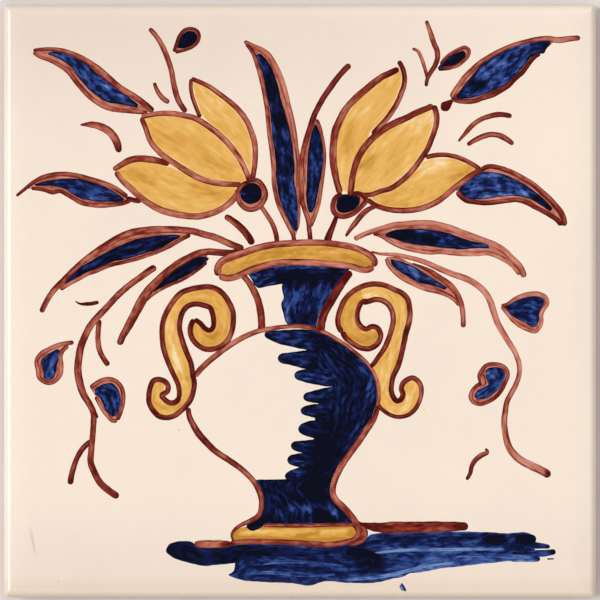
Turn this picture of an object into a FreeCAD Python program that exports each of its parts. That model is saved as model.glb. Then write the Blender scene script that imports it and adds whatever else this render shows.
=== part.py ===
"""Azulejo tile: a square wall tile of pressed earthenware, glazed on its face and fired as one piece.

It lies on its back, with its origin at the middle of the bedding plane and +Z out of the glazed face.
+Y is the top of the picture that is painted on the face. Sizes are in millimetres.
"""

import FreeCAD, Part
import math
import os

# Overall block
TILE_SIDE = 150.0
TILE_THICKNESS = 7.0
CORNER_RADIUS = 1.2

# Section of the edge: the face falls away gently, then turns over a rounded arris into the side
ROLL_WIDTH = 4.5
ROLL_ANGLE = 8.0
ARRIS_RADIUS = 2.4
BACK_BEVEL = 0.8

# Waffle key pressed into the back, which holds the mortar
KEY_CELL = 11.0
KEY_RIB = 3.0
KEY_DEPTH = 0.8
KEY_WALL_ANGLE = 30.0
KEY_LEAST_BORDER = 5.0

NODE_FOLDER = "parts"


def vector(x, y, z):
    """A point or direction in the tile's frame."""
    return FreeCAD.Vector(x, y, z)


def edge_section():
    """Closed section of the whole tile in the XZ plane, with both rounded edges."""
    half = TILE_SIDE / 2
    slope = math.radians(ROLL_ANGLE)
    roll_radius = ROLL_WIDTH / math.sin(slope)
    roll_end_x = half - ARRIS_RADIUS * (1 - math.sin(slope))
    roll_start_x = roll_end_x - ROLL_WIDTH
    roll_centre_z = TILE_THICKNESS - roll_radius
    arris_centre_x = half - ARRIS_RADIUS
    arris_centre_z = roll_centre_z + (roll_radius - ARRIS_RADIUS) * math.cos(slope)

    def on_roll(side, angle):
        x = roll_start_x + roll_radius * math.sin(angle)
        return vector(side * x, 0, roll_centre_z + roll_radius * math.cos(angle))

    def on_arris(side, angle):
        x = arris_centre_x + ARRIS_RADIUS * math.sin(angle)
        return vector(side * x, 0, arris_centre_z + ARRIS_RADIUS * math.cos(angle))

    upright = math.pi / 2
    edges = []
    for side in (1, -1):
        foot = vector(side * (half - BACK_BEVEL), 0, 0)
        bevel_top = vector(side * half, 0, BACK_BEVEL)
        edges += [
            Part.LineSegment(foot, bevel_top).toShape(),
            Part.LineSegment(bevel_top, on_arris(side, upright)).toShape(),
            Part.Arc(
                on_arris(side, upright), on_arris(side, (upright + slope) / 2), on_arris(side, slope)
            ).toShape(),
            Part.Arc(on_roll(side, slope), on_roll(side, slope / 2), on_roll(side, 0)).toShape(),
        ]
    edges.append(Part.LineSegment(on_roll(1, 0), on_roll(-1, 0)).toShape())
    edges.append(
        Part.LineSegment(
            vector(BACK_BEVEL - half, 0, 0), vector(half - BACK_BEVEL, 0, 0)
        ).toShape()
    )
    return Part.Face(Part.Wire(Part.sortEdges(edges)[0]))


def rounded_square_prism():
    """Plan of the tile with its four upright corners rounded, as tall as the tile."""
    half = TILE_SIDE / 2
    block = Part.makeBox(TILE_SIDE, TILE_SIDE, TILE_THICKNESS, vector(-half, -half, 0))
    uprights = [
        edge
        for edge in block.Edges
        if abs(edge.tangentAt(edge.FirstParameter).z) > 0.5
    ]
    return block.makeFillet(CORNER_RADIUS, uprights)


def pressed_block():
    """Block whose edge section runs along all four sides and meets in mitres at the corners."""
    half = TILE_SIDE / 2
    section = edge_section()
    section.translate(vector(0, -half, 0))
    along_y = section.extrude(vector(0, TILE_SIDE, 0))
    along_x = along_y.copy()
    along_x.rotate(vector(0, 0, 0), vector(0, 0, 1), 90)
    return along_y.common(along_x).common(rounded_square_prism())


def key_cell(x, y):
    """One square pocket of the key, wider at the back than at its floor, centred on x and y."""
    taper = KEY_DEPTH * math.tan(math.radians(KEY_WALL_ANGLE))
    outlines = []
    for half, z in ((KEY_CELL / 2, 0), (KEY_CELL / 2 - taper, KEY_DEPTH)):
        corners = [
            vector(x - half, y - half, z),
            vector(x + half, y - half, z),
            vector(x + half, y + half, z),
            vector(x - half, y + half, z),
        ]
        outlines.append(Part.makePolygon(corners + corners[:1]))
    return Part.makeLoft(outlines, True, True)


def key_places():
    """Centres of the key's cells along one side, as many as fit inside the border."""
    pitch = KEY_CELL + KEY_RIB
    count = int((TILE_SIDE - 2 * KEY_LEAST_BORDER + KEY_RIB) / pitch)
    return [(index - (count - 1) / 2) * pitch for index in range(count)]


def tile():
    """The whole fired tile, one solid."""
    cells = [key_cell(x, y) for x in key_places() for y in key_places()]
    return pressed_block().cut(Part.makeCompound(cells)).removeSplitter()


def main():
    os.makedirs(NODE_FOLDER, exist_ok=True)
    shape = tile()
    solid = shape.Solids[0]
    print("solids", len(shape.Solids), "valid", solid.isValid(), "volume mm3", round(solid.Volume, 1))
    print("box", solid.BoundBox, "faces", len(solid.Faces))
    solid.exportStep(os.path.join(NODE_FOLDER, "tile.step"))


main()
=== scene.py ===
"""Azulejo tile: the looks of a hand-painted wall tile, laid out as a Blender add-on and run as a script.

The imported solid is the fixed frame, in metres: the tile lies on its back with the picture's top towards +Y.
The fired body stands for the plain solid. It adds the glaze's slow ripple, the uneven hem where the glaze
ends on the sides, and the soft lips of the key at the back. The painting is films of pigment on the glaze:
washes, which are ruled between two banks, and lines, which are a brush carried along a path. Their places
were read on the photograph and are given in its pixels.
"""

import math
from typing import NamedTuple

import bpy
import numpy as np
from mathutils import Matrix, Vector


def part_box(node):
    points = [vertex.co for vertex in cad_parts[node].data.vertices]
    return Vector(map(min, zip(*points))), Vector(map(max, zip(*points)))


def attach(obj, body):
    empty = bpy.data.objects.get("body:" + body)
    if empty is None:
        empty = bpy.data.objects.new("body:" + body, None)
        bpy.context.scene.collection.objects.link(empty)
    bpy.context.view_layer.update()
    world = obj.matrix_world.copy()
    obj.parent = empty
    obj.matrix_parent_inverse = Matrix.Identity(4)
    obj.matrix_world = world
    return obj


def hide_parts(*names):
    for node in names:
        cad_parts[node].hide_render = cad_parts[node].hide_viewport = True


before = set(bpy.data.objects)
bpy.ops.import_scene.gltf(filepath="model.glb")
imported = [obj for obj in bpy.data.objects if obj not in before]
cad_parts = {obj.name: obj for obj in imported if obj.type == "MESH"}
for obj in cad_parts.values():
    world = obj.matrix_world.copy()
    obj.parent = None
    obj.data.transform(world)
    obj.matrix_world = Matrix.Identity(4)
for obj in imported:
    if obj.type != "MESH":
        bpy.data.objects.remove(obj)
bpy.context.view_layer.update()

bl_info = {
    "name": "Azulejo tile",
    "version": (1, 0, 0),
    "blender": (4, 5, 0),
    "location": "3D view, sidebar, Tile",
    "description": "Builds a hand-painted glazed wall tile around its packed solid",
    "category": "Object",
}

MM = 0.001
TILE_LOW, TILE_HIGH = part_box("tile")
SIDE = TILE_HIGH.x - TILE_LOW.x
HALF = SIDE / 2
THICKNESS = TILE_HIGH.z - TILE_LOW.z

# Where the tile lies in the photograph, in its pixels
PHOTO_WIDTH = 600.0
PHOTO_SIDE = 594.0
PHOTO_MIDDLE = (300.0, 301.0)
PIXEL = SIDE / PHOTO_SIDE

# How far, in pixels, a place that was read in the photograph moves to lie where it belongs
READING_OFFSET = (0.25, 0.5)

# How finely films are drawn, and how much closer their steps are at both ends
STEP = 1.3 * PIXEL
LEAST_STEPS = 14
CROWDING = 0.12
LINE_COLUMNS = 13

# A film's form: its narrowest tip, how square its crown is, how deep it is sunk, how much higher the next
# film and the next group of lines lie, how far a wash runs past its banks, and the gap where banks meet
LEAST_CAP = 0.1
CROWN_POWER = 10
FILM_SINK = 0.005 * MM
FILM_ORDER = 0.0003 * MM
GROUP_RISE = 30 * FILM_ORDER
WASH_SPREAD = 0.3 * PIXEL
HAIR = 0.01 * PIXEL

# The least fold between two faces that is shaded as a sharp edge
SHARP_FOLD = math.radians(60)

# How unsteady the hand is: a share of half the width, the largest half width that counts, and the waves'
# shortest length and their lengths in that
RAGGED = 0.05
LARGEST_UNSTEADY = 6 * PIXEL
RAGGED_WAVE = 9 * PIXEL
WAVE_LENGTHS = (1.0, 2.3, 4.1)

# Pigment left at a line's ends, and in the brown beds under the blue washes
END_POOL = 0.3
BED_PIGMENT = 0.36

# Brush texture: its scales along a stroke, across it and from stroke to stroke, and the step between strokes
FINE_STREAKS = (0.26, 1.6, 1.0)
BROAD_STREAKS = (0.14, 0.6, 1.0)
BLOTCHES = (0.42, 1.0, 1.0)
BRUSH_GAP = 7.3 * MM

# Seeds from one group of strokes to the next
SEED_STEP = 100

# The glaze's slow swells, in radians a metre, with the slanted one's size and slant, and how they fade
SWELL_ACROSS = 210
SWELL_UPWARD = 175
SWELL_SLANTED = 320
SLANTED_SIZE = 0.6
SLANT = 0.6
SWELL_FADE = 8 * MM

# Grid lines of the fired body: up a pocket's wall, over the roll and round the arris
WALL_LINES = 5
ROLL_LINES = 8
ARRIS_LINES = 13

# The glaze's hem: the size, turns and start of each wave, and the places, width and depth of its runs
HEM_WAVES = ((0.5, 9, 0.8), (0.3, 23, 2.1), (0.2, 61, 4.4))
HEM_RUNS = (0.07, 0.31, 0.44, 0.68, 0.9)
RUN_WIDTH = 0.006
RUN_DEPTH = 1.4

# The glaze's rounded lower edge: shares of its step, and their heights over the hem
HEM_ROUNDING = ((0, 0.6 * MM), (0.1, 0.2 * MM), (0.4, 0.0), (1, -0.08 * MM))

# Pinholes: how close their cells lie, and how few cells have one
PINHOLE_SCALE = 230.0
PINHOLE_RARITY = 0.93

# A faint smear low on the left: its middle in the photo, its half sizes and how far it leans
SMEAR_MIDDLE = (32.5, 540)
SMEAR_WIDTH = 2 * PIXEL
SMEAR_REACH = 16 * PIXEL
SMEAR_LEAN = 0.19

# Heights, as the sine of their angle, between which the wall fades from what the glaze mirrors
WALL_FADE_START = 0.04
WALL_FADE_END = 0.2

# How far the floor reaches, and the darker colour of its tooth
FLOOR_REACH = 40 * SIDE
FLOOR_TOOTH = (0.5, 0.48, 0.46, 1.0)

# How far the lamps lean from straight up, the sides they shine from, and how large the fills look
LAMP_TILT = math.radians(49)
KEY_TURN = math.radians(174)
FILL_TURNS = {"fill_right": 0, "fill_top": math.radians(90), "fill_bottom": math.radians(270)}
FILL_SOFTNESS = math.radians(60)


class Line(NamedTuple):
    """A brush line: its pigment, about 0 thin and 1 pooled, its widths, evenly spread, and its path."""

    load: float
    widths: tuple
    points: tuple


class Wash(NamedTuple):
    """A filled patch: its pigment, and its two banks, which run from the same end to the same end."""

    load: float
    first: tuple
    second: tuple


class Dab(NamedTuple):
    """A soft touch that adds or, below 0, wipes off pigment: how much, how far it reaches, its stroke."""

    load: float
    reach: float
    start: tuple
    end: tuple


# Outlines that a line and a wash share
LEFT_HIGH_PETAL_BACK = ((191, 78.5), (190.5, 87.5), (192, 96), (195.3, 105.5), (200, 117))
LEFT_HIGH_PETAL_FRONT = (
    (191, 78), (199.5, 81.5), (209.5, 86.5), (218.5, 93), (228, 100), (237, 108), (245, 118), (250.5, 129.5),
    (254, 141), (255, 152), (254.5, 163), (251.5, 181),
)
LEFT_MIDDLE_PETAL_TOP = (
    (141, 116.5), (150, 114.4), (160, 113), (171, 113), (182.5, 114.8), (193.8, 117.5), (211, 128),
    (222, 137), (230, 145.5), (236.9, 154.4), (242.5, 164), (249.5, 181.5),
)
LEFT_MIDDLE_PETAL_UNDER = (
    (141, 117), (144.4, 125), (151, 142), (158, 150.6), (167, 158), (176, 164), (187, 171), (197.5, 177),
    (209, 181), (220, 183), (241, 184),
)
LEFT_LOW_PETAL_TOP = ((113, 169.4), (120, 165), (129, 160), (139, 158), (149, 158.8), (169, 163.5))
LEFT_LOW_PETAL_UNDER = (
    (115.5, 171), (122, 180), (130, 187.5), (145, 200.5), (163.5, 210.5), (175, 213.5), (187, 215.5),
    (200, 215.6), (211, 213), (222, 208), (230, 202), (236, 195), (238, 189),
)
RIGHT_HIGH_PETAL_BACK = (
    (398.5, 68.3), (390.5, 72.3), (382.5, 76), (375.3, 81), (367, 87.7), (358.4, 95), (350.5, 102.7),
    (344, 111), (339.5, 120), (335.3, 130), (333.4, 141), (332.7, 151), (333, 162), (335.3, 175.5),
    (337.6, 185), (340, 193),
)
RIGHT_HIGH_PETAL_FRONT = (
    (398, 60.5), (401.5, 66), (404, 74.5), (404, 83.5), (401, 92.7), (398, 100), (393, 109), (387, 117.7),
    (380, 125.5), (372, 134),
)
RIGHT_MIDDLE_PETAL_TOP = (
    (433, 105), (424, 109), (415.3, 112.7), (405.5, 117.7), (396, 121.7), (388, 126), (379, 132), (371, 139),
    (364, 147), (359, 155.3), (355, 165), (352.3, 175.5), (351, 186), (350, 195),
)
RIGHT_MIDDLE_PETAL_UNDER = (
    (433, 105), (436, 112.3), (436.5, 120), (434.3, 130), (430.8, 140), (427, 149), (422, 156.5), (416, 165),
    (409, 173.5), (400, 181.5), (390, 188), (380, 190.8), (371.5, 194), (362, 194.5), (356, 194),
)
RIGHT_LOW_PETAL_TOP = (
    (425.3, 157), (433.5, 155), (443.5, 154.3), (453, 155.6), (463, 159), (472.3, 163.8), (480, 169),
)
RIGHT_LOW_PETAL_UNDER = (
    (367, 198.3), (374, 204), (382, 207.3), (392, 209.5), (404, 210), (416, 209), (427.3, 205.8),
    (437.3, 201), (446, 194.3), (453.5, 188), (461, 182.3), (468, 177), (475, 172.5), (481, 170),
)
LEFT_HANDLE_BACK = (
    (179, 394), (178, 385), (173.7, 375), (169.5, 365.5), (165.5, 355.5), (162.7, 345.5), (161.8, 335),
    (162, 326), (163.7, 317.7), (168, 308.5), (174, 299.5), (181, 292.3), (190, 288.7),
)
LEFT_SPIRAL_OUTSIDE = (
    (190, 288.7), (200, 286.8), (209, 286.3), (217.3, 289), (224.7, 295.5), (229.7, 303.5), (232.8, 312.3),
    (233, 321), (231.7, 330), (228, 339), (222.3, 345), (214.5, 348.2), (206, 348.7), (198.5, 345.4),
    (192.3, 338.5), (190, 330.5), (191, 324), (194, 319),
)
LEFT_SPIRAL_INSIDE = (
    (194, 319), (200, 322.7), (205, 328), (209.5, 330), (212.5, 327.3), (213.3, 320.5), (212.3, 313.5),
    (210, 307.5), (203, 304.7), (195, 303.5),
)
LEFT_HANDLE_FRONT = (
    (195, 303.5), (188, 305.4), (183, 310.7), (180, 318.5), (179.2, 327.3), (181, 336), (184, 345.6),
    (187.3, 354.3), (190.4, 362), (192, 370), (192.5, 377),
)
LEFT_SCROLL_OUTSIDE = (
    (191.2, 372.5), (194, 383), (193, 391), (190.4, 399), (186, 405), (180, 411), (174, 415.3), (166, 417.3),
    (159, 415.8), (153, 410), (149, 402.7), (148.6, 394.3), (150.4, 385.5), (153.5, 380), (158, 379),
)
LEFT_SCROLL_INSIDE = (
    (158, 379), (164.7, 381), (168, 386), (167, 391), (161.5, 395), (165, 399.5), (170, 402.5), (176, 401),
    (179, 396),
)
RIGHT_SPIRAL_BACK = (
    (342, 332), (338, 324.5), (337.7, 317), (340.4, 307.8), (344, 300), (350.4, 292.7), (358.5, 287.5),
    (366, 284.5),
)
RIGHT_HANDLE_BACK = (
    (366, 284.5), (375, 283.5), (385, 285), (394, 289), (402.3, 293), (407.3, 298.5), (409, 306),
    (409.7, 315), (408, 324.5), (405.7, 332), (404, 340.5), (402, 349.7), (400, 358.5), (397, 367.3),
    (393.3, 375), (391.2, 384), (391, 390), (392.7, 395.7),
)
RIGHT_SCROLL_INSIDE = (
    (392.7, 395.7), (397, 400.7), (400.7, 399), (402.7, 393.5), (401, 388.5), (402.3, 383.5), (407.3, 379),
    (412.3, 377.3),
)
RIGHT_SCROLL_OUTSIDE = (
    (412.3, 377.3), (417.7, 380.5), (420.8, 386.5), (421, 393.5), (419, 401), (415, 408.5), (409.7, 413.5),
    (403, 416), (394.7, 416), (387.3, 413), (381, 408),
)
RIGHT_HANDLE_FRONT = (
    (368, 301), (375, 299), (382, 300), (388, 304), (392, 311.5), (393, 320), (391.2, 329), (388, 339),
    (384, 347.7), (378.5, 356), (372, 364.7),
)
RIGHT_SPIRAL_INSIDE = (
    (368, 301), (363, 301), (358.6, 307), (357, 314.5), (358, 321.7), (362, 327), (366.5, 328.5),
    (371.5, 325.8), (376.5, 327), (380.2, 332.7),
)
RIGHT_SPIRAL_FRONT = (
    (380.2, 332.7), (379.5, 339.5), (375, 345.4), (368, 348.3), (360, 347.3), (351.5, 342.3), (344.5, 336),
    (342, 331),
)

LIP_UNDER = (
    (219, 275), (226, 277.5), (236, 276), (246, 271.5), (256, 267.7), (269, 264), (283, 262), (298, 261.5),
    (326, 263.3), (340, 264.3), (353, 266.5), (361, 268.9), (367.5, 269.3), (373, 265.8),
)
LIP_TOP = (
    (219, 275), (217.3, 268.5), (220.5, 262), (231, 256.5), (243.5, 252.5), (252.3, 249), (263, 246),
    (288, 242.9), (312, 242), (337, 243.7), (356.5, 248), (365, 251.7), (371, 255.5), (374.4, 260.8),
    (373, 265.8),
)
NECK_RIGHT = (
    (351, 271), (345.5, 277.5), (340, 285), (335, 293.5), (330, 302), (325, 310.5), (321.7, 319.5),
    (320.6, 327.3), (321, 333),
)
SHOULDER_LEFT = (
    (194.5, 376), (200, 369), (207.3, 362), (215.7, 355), (232.3, 343), (250, 333.6), (259, 330.3),
    (268.5, 328.5), (288, 326), (300, 325.8), (308.5, 327), (321, 330.5),
)
SHOULDER_RIGHT = (
    (319, 330), (327, 333), (335.5, 338), (344.5, 343.5), (352.3, 349.5), (359, 355), (366, 361.5),
    (371, 367.7), (375.3, 376), (378, 385), (378.6, 393), (377.5, 407),
)
BELLY_RIGHT = (
    (377.5, 405), (373.5, 418.5), (367.7, 427.3), (361.5, 437), (349, 454), (343.5, 461.7), (339, 470),
    (335, 478.5), (333, 486), (332.7, 493), (335.7, 499.5), (342.3, 505.5), (348.5, 512.3), (353.5, 518.5),
    (358, 525),
)
BELLY_LEFT = (
    (188, 407), (189, 415.5), (193, 424.5), (198, 432.5), (208.5, 444.5), (214.7, 450.3), (230, 460.5),
    (245.5, 472.3), (252.7, 480), (258, 489), (260.8, 497.7), (261, 506.5), (258.5, 514.5), (251.5, 519.5),
    (243, 523.5), (235.5, 528), (231.5, 534), (234, 541),
)
FOOT_UNDER = (
    (230, 543), (240, 541.5), (260, 541), (281, 541.5), (300, 542.5), (335, 543.5), (347, 541.2), (357, 538),
)

YELLOW_FLOWERS = {
    "left_high_petal": Wash(
        0.46, LEFT_HIGH_PETAL_BACK + LEFT_MIDDLE_PETAL_TOP[6:], LEFT_HIGH_PETAL_FRONT
    ),
    "left_middle_petal": Wash(0.46, LEFT_MIDDLE_PETAL_TOP, LEFT_MIDDLE_PETAL_UNDER),
    "left_low_petal": Wash(0.47, LEFT_LOW_PETAL_TOP + LEFT_MIDDLE_PETAL_UNDER[6:], LEFT_LOW_PETAL_UNDER),
    "right_high_petal": Wash(
        0.43, RIGHT_HIGH_PETAL_BACK, RIGHT_HIGH_PETAL_FRONT + RIGHT_MIDDLE_PETAL_TOP[7:]
    ),
    "right_middle_petal": Wash(0.46, RIGHT_MIDDLE_PETAL_TOP, RIGHT_MIDDLE_PETAL_UNDER),
    "right_low_petal": Wash(
        0.48, RIGHT_LOW_PETAL_TOP[::-1] + RIGHT_MIDDLE_PETAL_UNDER[7:13], RIGHT_LOW_PETAL_UNDER[::-1]
    ),
}

YELLOW_VASE = {
    "lip": Wash(0.74, LIP_TOP, LIP_UNDER),
    "left_handle": Wash(0.55, LEFT_HANDLE_BACK, LEFT_HANDLE_FRONT[::-1]),
    "left_spiral": Wash(
        0.6,
        LEFT_HANDLE_BACK[-2:] + LEFT_SPIRAL_OUTSIDE[1:],
        LEFT_HANDLE_FRONT[1:0:-1] + LEFT_SPIRAL_INSIDE[::-1],
    ),
    "left_scroll": Wash(
        0.55, LEFT_SCROLL_OUTSIDE, ((178, 382),) + LEFT_SCROLL_INSIDE[:3:-1] + ((164, 390), (164, 382))
    ),
    "right_spiral": Wash(0.62, RIGHT_SPIRAL_FRONT + RIGHT_SPIRAL_BACK[1:], RIGHT_SPIRAL_INSIDE[8::-1]),
    "right_handle": Wash(
        0.46,
        RIGHT_SPIRAL_BACK[-2:] + RIGHT_HANDLE_BACK[1:],
        RIGHT_SPIRAL_INSIDE[1:0:-1] + RIGHT_HANDLE_FRONT + ((375.3, 376), (378, 390), (378, 404)),
    ),
    "right_scroll": Wash(
        0.42,
        RIGHT_HANDLE_BACK[-3:] + RIGHT_SCROLL_INSIDE[1:],
        ((377.5, 394), (378, 404)) + RIGHT_SCROLL_OUTSIDE[:0:-1],
    ),
    "foot": Wash(0.88, (
        (231, 536), (236, 529.5), (246, 526), (262, 525), (300, 525.3), (345, 525), (357, 526),
    ), (
        (232, 540), (245, 541), (275, 541.3), (305, 542.5), (335, 543), (346, 541), (357, 536),
    )),
    "stray_touch": Line(-0.2, (1.5, 2.5, 1.5), ((423.5, 408), (425, 411), (425.5, 414.5))),
}

BLUE_LEAVES = {
    "top_left": Wash(0.56, (
        (48, 52.5), (62.5, 51), (78.8, 58.5), (95.8, 72), (113.8, 85.5), (130.8, 98.5), (138, 104),
    ), (
        (48, 54), (62, 60), (72.5, 68.3), (78.6, 77.2), (92.6, 92.2), (106.5, 101.3), (125, 104.3),
        (137, 107.5),
    )),
    "left": Wash(0.6, (
        (34, 184), (44, 181), (56, 179), (70, 178), (84, 179.3), (96, 183), (108, 188), (118, 194),
        (124, 199),
    ), (
        (36, 185.5), (58, 186.5), (66, 189), (73, 194), (82, 198.6), (94, 200.3), (122, 201),
    )),
    "long_left": Wash(0.92, (
        (64, 281.5), (71, 274.5), (80, 267), (90, 260.7), (100, 255), (110, 249.7), (120, 245), (132, 240),
        (145, 237), (165, 234.5), (177, 234.6), (180, 235.5),
    ), (
        (66.5, 285), (75.5, 280.5), (84, 275.5), (92, 272), (97, 272), (103.5, 266.5), (111.5, 261.5),
        (124, 259), (138.5, 254.7), (150, 251), (160, 248.4), (166.5, 244), (173.5, 240), (179, 237.5),
    )),
    "low_left": Wash(1.0, (
        (150, 290), (157, 281.5), (166, 275), (176, 268), (187, 260.5), (197, 256.5), (205, 256.5),
        (209, 258),
    ), (
        (152, 291.5), (160, 288.5), (168.5, 284), (180, 278.5), (190, 272.5), (199, 266.5), (207, 260.5),
    )),
    "tall": Wash(0.72, (
        (255, 54.5), (258, 61.5), (261.5, 70.5), (265.5, 89), (270, 112), (272.3, 138), (275.5, 161),
        (276, 180), (280, 200), (287.3, 218), (291, 225.5), (295, 231),
    ), (
        (260, 53), (265.5, 58.5), (270.5, 66), (276.5, 81.5), (281, 100), (287, 120), (291, 138.5),
        (294, 163), (294, 180), (297, 196), (299.5, 215), (299, 224), (297, 230.3),
    )),
    "small": Wash(0.76, (
        (314.5, 124), (311, 134.5), (309, 145), (307.5, 157), (306.7, 182), (306, 194), (306.7, 204),
        (309, 212),
    ), (
        (316.5, 124.5), (320, 134.5), (322.5, 145), (323.7, 155), (321.3, 174), (317.3, 194), (315, 204.5),
        (311.5, 212),
    )),
    "top_right": Wash(0.56, (
        (456, 96), (462.3, 87), (469, 78.3), (476, 69.8), (482.8, 62.7), (491.8, 56.3), (501.2, 50.5),
        (511.3, 46), (521.5, 43.5), (529.3, 41.5), (540, 39.8), (551, 40),
    ), (
        (457, 98.5), (466, 98), (476, 96.3), (486, 93), (495.5, 89), (504.5, 84.5), (512, 78.5), (519, 71),
        (525, 64), (531, 57), (537.5, 53), (544, 52.3), (546, 48.5), (550, 44),
    )),
    "right": Wash(0.58, (
        (458, 189.5), (463.5, 184), (470, 178.5), (477.3, 173.5), (484.5, 171), (493.5, 171.7), (503.5, 174),
        (521, 182), (538, 194), (546, 201), (552.3, 208),
    ), (
        (460, 194), (467, 197.7), (476, 199), (488, 198), (511, 195.3), (520, 196), (528, 197.7), (535, 201),
        (543, 206), (550.3, 211),
    )),
    "long_right": Wash(0.72, (
        (385, 234), (392, 230.3), (402, 229), (428, 229), (440, 231), (450, 233), (460, 237), (470, 240.3),
        (488, 243),
    ), (
        (386, 236), (395, 238.7), (405.5, 242.3), (424, 245), (449, 248), (462, 248.7), (480, 247.5),
        (489, 248),
    )),
    "low_right": Wash(0.6, (
        (390, 258.7), (398.5, 260.5), (407.3, 263.4), (416, 267.3), (424, 273), (432.3, 278), (447, 287.3),
    ), (
        (391, 263.4), (396, 268.5), (402.7, 273.5), (411, 278), (420, 282.5), (429, 284), (444.5, 289.3),
    )),
}

BLUE_SEEDS = {
    "high_left": Wash(1.0, (
        (176.7, 46.5), (180.2, 37), (185.2, 31.5), (192.2, 30.5), (197, 34.5),
    ), (
        (177.7, 47.7), (187.2, 46.7), (195.2, 41.5), (197.5, 36.5),
    )),
    "high_right": Wash(0.95, (
        (437.5, 67.5), (443, 61), (452, 54.5), (463, 50),
    ), (
        (438.5, 70), (448, 69.5), (457, 66), (463.5, 59.5), (466, 53),
    )),
    "left_drop": Wash(0.62, (
        (57.5, 348.5), (52, 351), (46, 355), (40.8, 361.5), (43, 369), (43, 377.5),
    ), (
        (59.8, 350), (59, 355.5), (57, 363.5), (56, 371), (53, 377.5), (48, 380),
    )),
    "left_low_drop": Wash(0.64, (
        (94.5, 389), (102, 384), (112.5, 383), (117.5, 388), (120.6, 397), (120, 406), (118, 414),
    ), (
        (94.5, 394), (98, 396), (101.9, 402.5), (105.5, 410), (112.5, 416.5),
    )),
    "heart": Wash(0.62, (
        (503, 305.5), (510, 302), (520, 298), (534.6, 295.4), (544, 298), (543, 305), (538, 311),
    ), (
        (504, 307), (509.8, 313.6), (522.9, 321.5), (534, 326.7), (538.5, 321.5), (537.5, 313),
    )),
    "kidney": Wash(0.6, (
        (485.5, 371), (488, 367.8), (493.5, 366.7), (500.5, 367.3), (505.3, 372), (503.7, 379), (499.5, 387),
        (493.5, 393), (487, 397.5), (480, 399),
    ), (
        (485.5, 373), (486, 377.5), (487.7, 384), (482, 387.3), (477, 390.3), (474.7, 396.5), (478, 399),
    )),
    "left_bud": Line(0.8, (22.5,), ((239.5, 192.8), (250.8, 192.8), (262, 192.8))),
    "right_bud": Wash(1.0, (
        (336.5, 202), (340.5, 195), (348, 193.7), (355, 194.7), (360, 197.5),
    ), (
        (336, 205), (338.5, 211), (345, 212.5), (352.5, 210), (359.5, 203),
    )),
}

BLUE_VASE = {
    "neck_band": Wash(0.8, (
        (247, 272.5), (256, 268.5), (269, 264.7), (283, 262.7), (298, 262), (326, 264), (340, 265),
        (349, 269),
    ), (
        (252, 280), (257.5, 287), (268, 285.5), (283, 283.5), (300, 284.5), (320, 285), (337, 286),
        (346, 276),
    )),
    "neck": Wash(0.68, (
        (283, 279), (282, 290), (283.5, 297), (281, 303.5), (282, 309.5), (284, 316), (286, 322), (289, 325),
    ), (
        (346, 277), (340, 285), (335, 293.5), (330, 302), (325, 310.5), (321.7, 319.5), (319, 327),
    )),
    "belly": Wash(
        0.88,
        (
            (290, 329), (308, 348), (313, 367), (332, 384.6), (318, 403.6), (315, 417), (314, 437),
            (305, 452), (299, 466), (290, 480), (268, 479), (255, 480.5), (259.5, 489), (262, 498),
            (262.5, 506.5), (260, 514), (256, 519), (258, 524.5),
        ),
        SHOULDER_RIGHT[1:] + BELLY_RIGHT[1:],
    ),
    "finger_1": Line(0.64, (24, 22, 19.5, 14.5, 7), (
        (332, 345.5), (308.7, 339.5), (296.5, 338), (280, 336.5), (264.3, 333.3),
    )),
    "finger_2": Line(0.62, (25, 21, 14, 9), ((325, 359.5), (308, 359), (295, 358.5), (277.5, 357.5))),
    "finger_3": Line(0.55, (21, 19.5, 15, 8), ((338, 376.5), (320, 376), (302, 375), (294, 375))),
    "finger_4": Line(0.6, (22, 18, 13.5, 8), ((342, 394.5), (324, 395.7), (310, 396.4), (303, 396.8))),
    "finger_5": Line(0.6, (20, 16, 13, 7), ((334, 411), (318, 410.5), (307, 410.2), (300.3, 410.4))),
    "finger_6": Line(0.65, (24, 21, 17, 9), ((335, 430), (320, 429), (308, 428.5), (298, 429))),
    "finger_7": Line(0.6, (20, 16, 13, 8), ((325, 447), (308, 446.5), (300, 446), (290.7, 444.5))),
    "finger_8": Line(0.55, (20, 17, 14, 9), ((320, 460), (303, 460), (296, 459.7), (287, 459.5))),
    "finger_9": Line(0.55, (18, 15, 12, 7), ((310, 474), (298, 474), (292, 475), (284.7, 476.5))),
    "blot": Wash(1.1, (
        (268, 512), (256, 519), (247.5, 522.5),
    ), (
        (271, 518), (264, 524.5), (257, 529), (252, 530.5), (246, 526),
    )),
}

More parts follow.
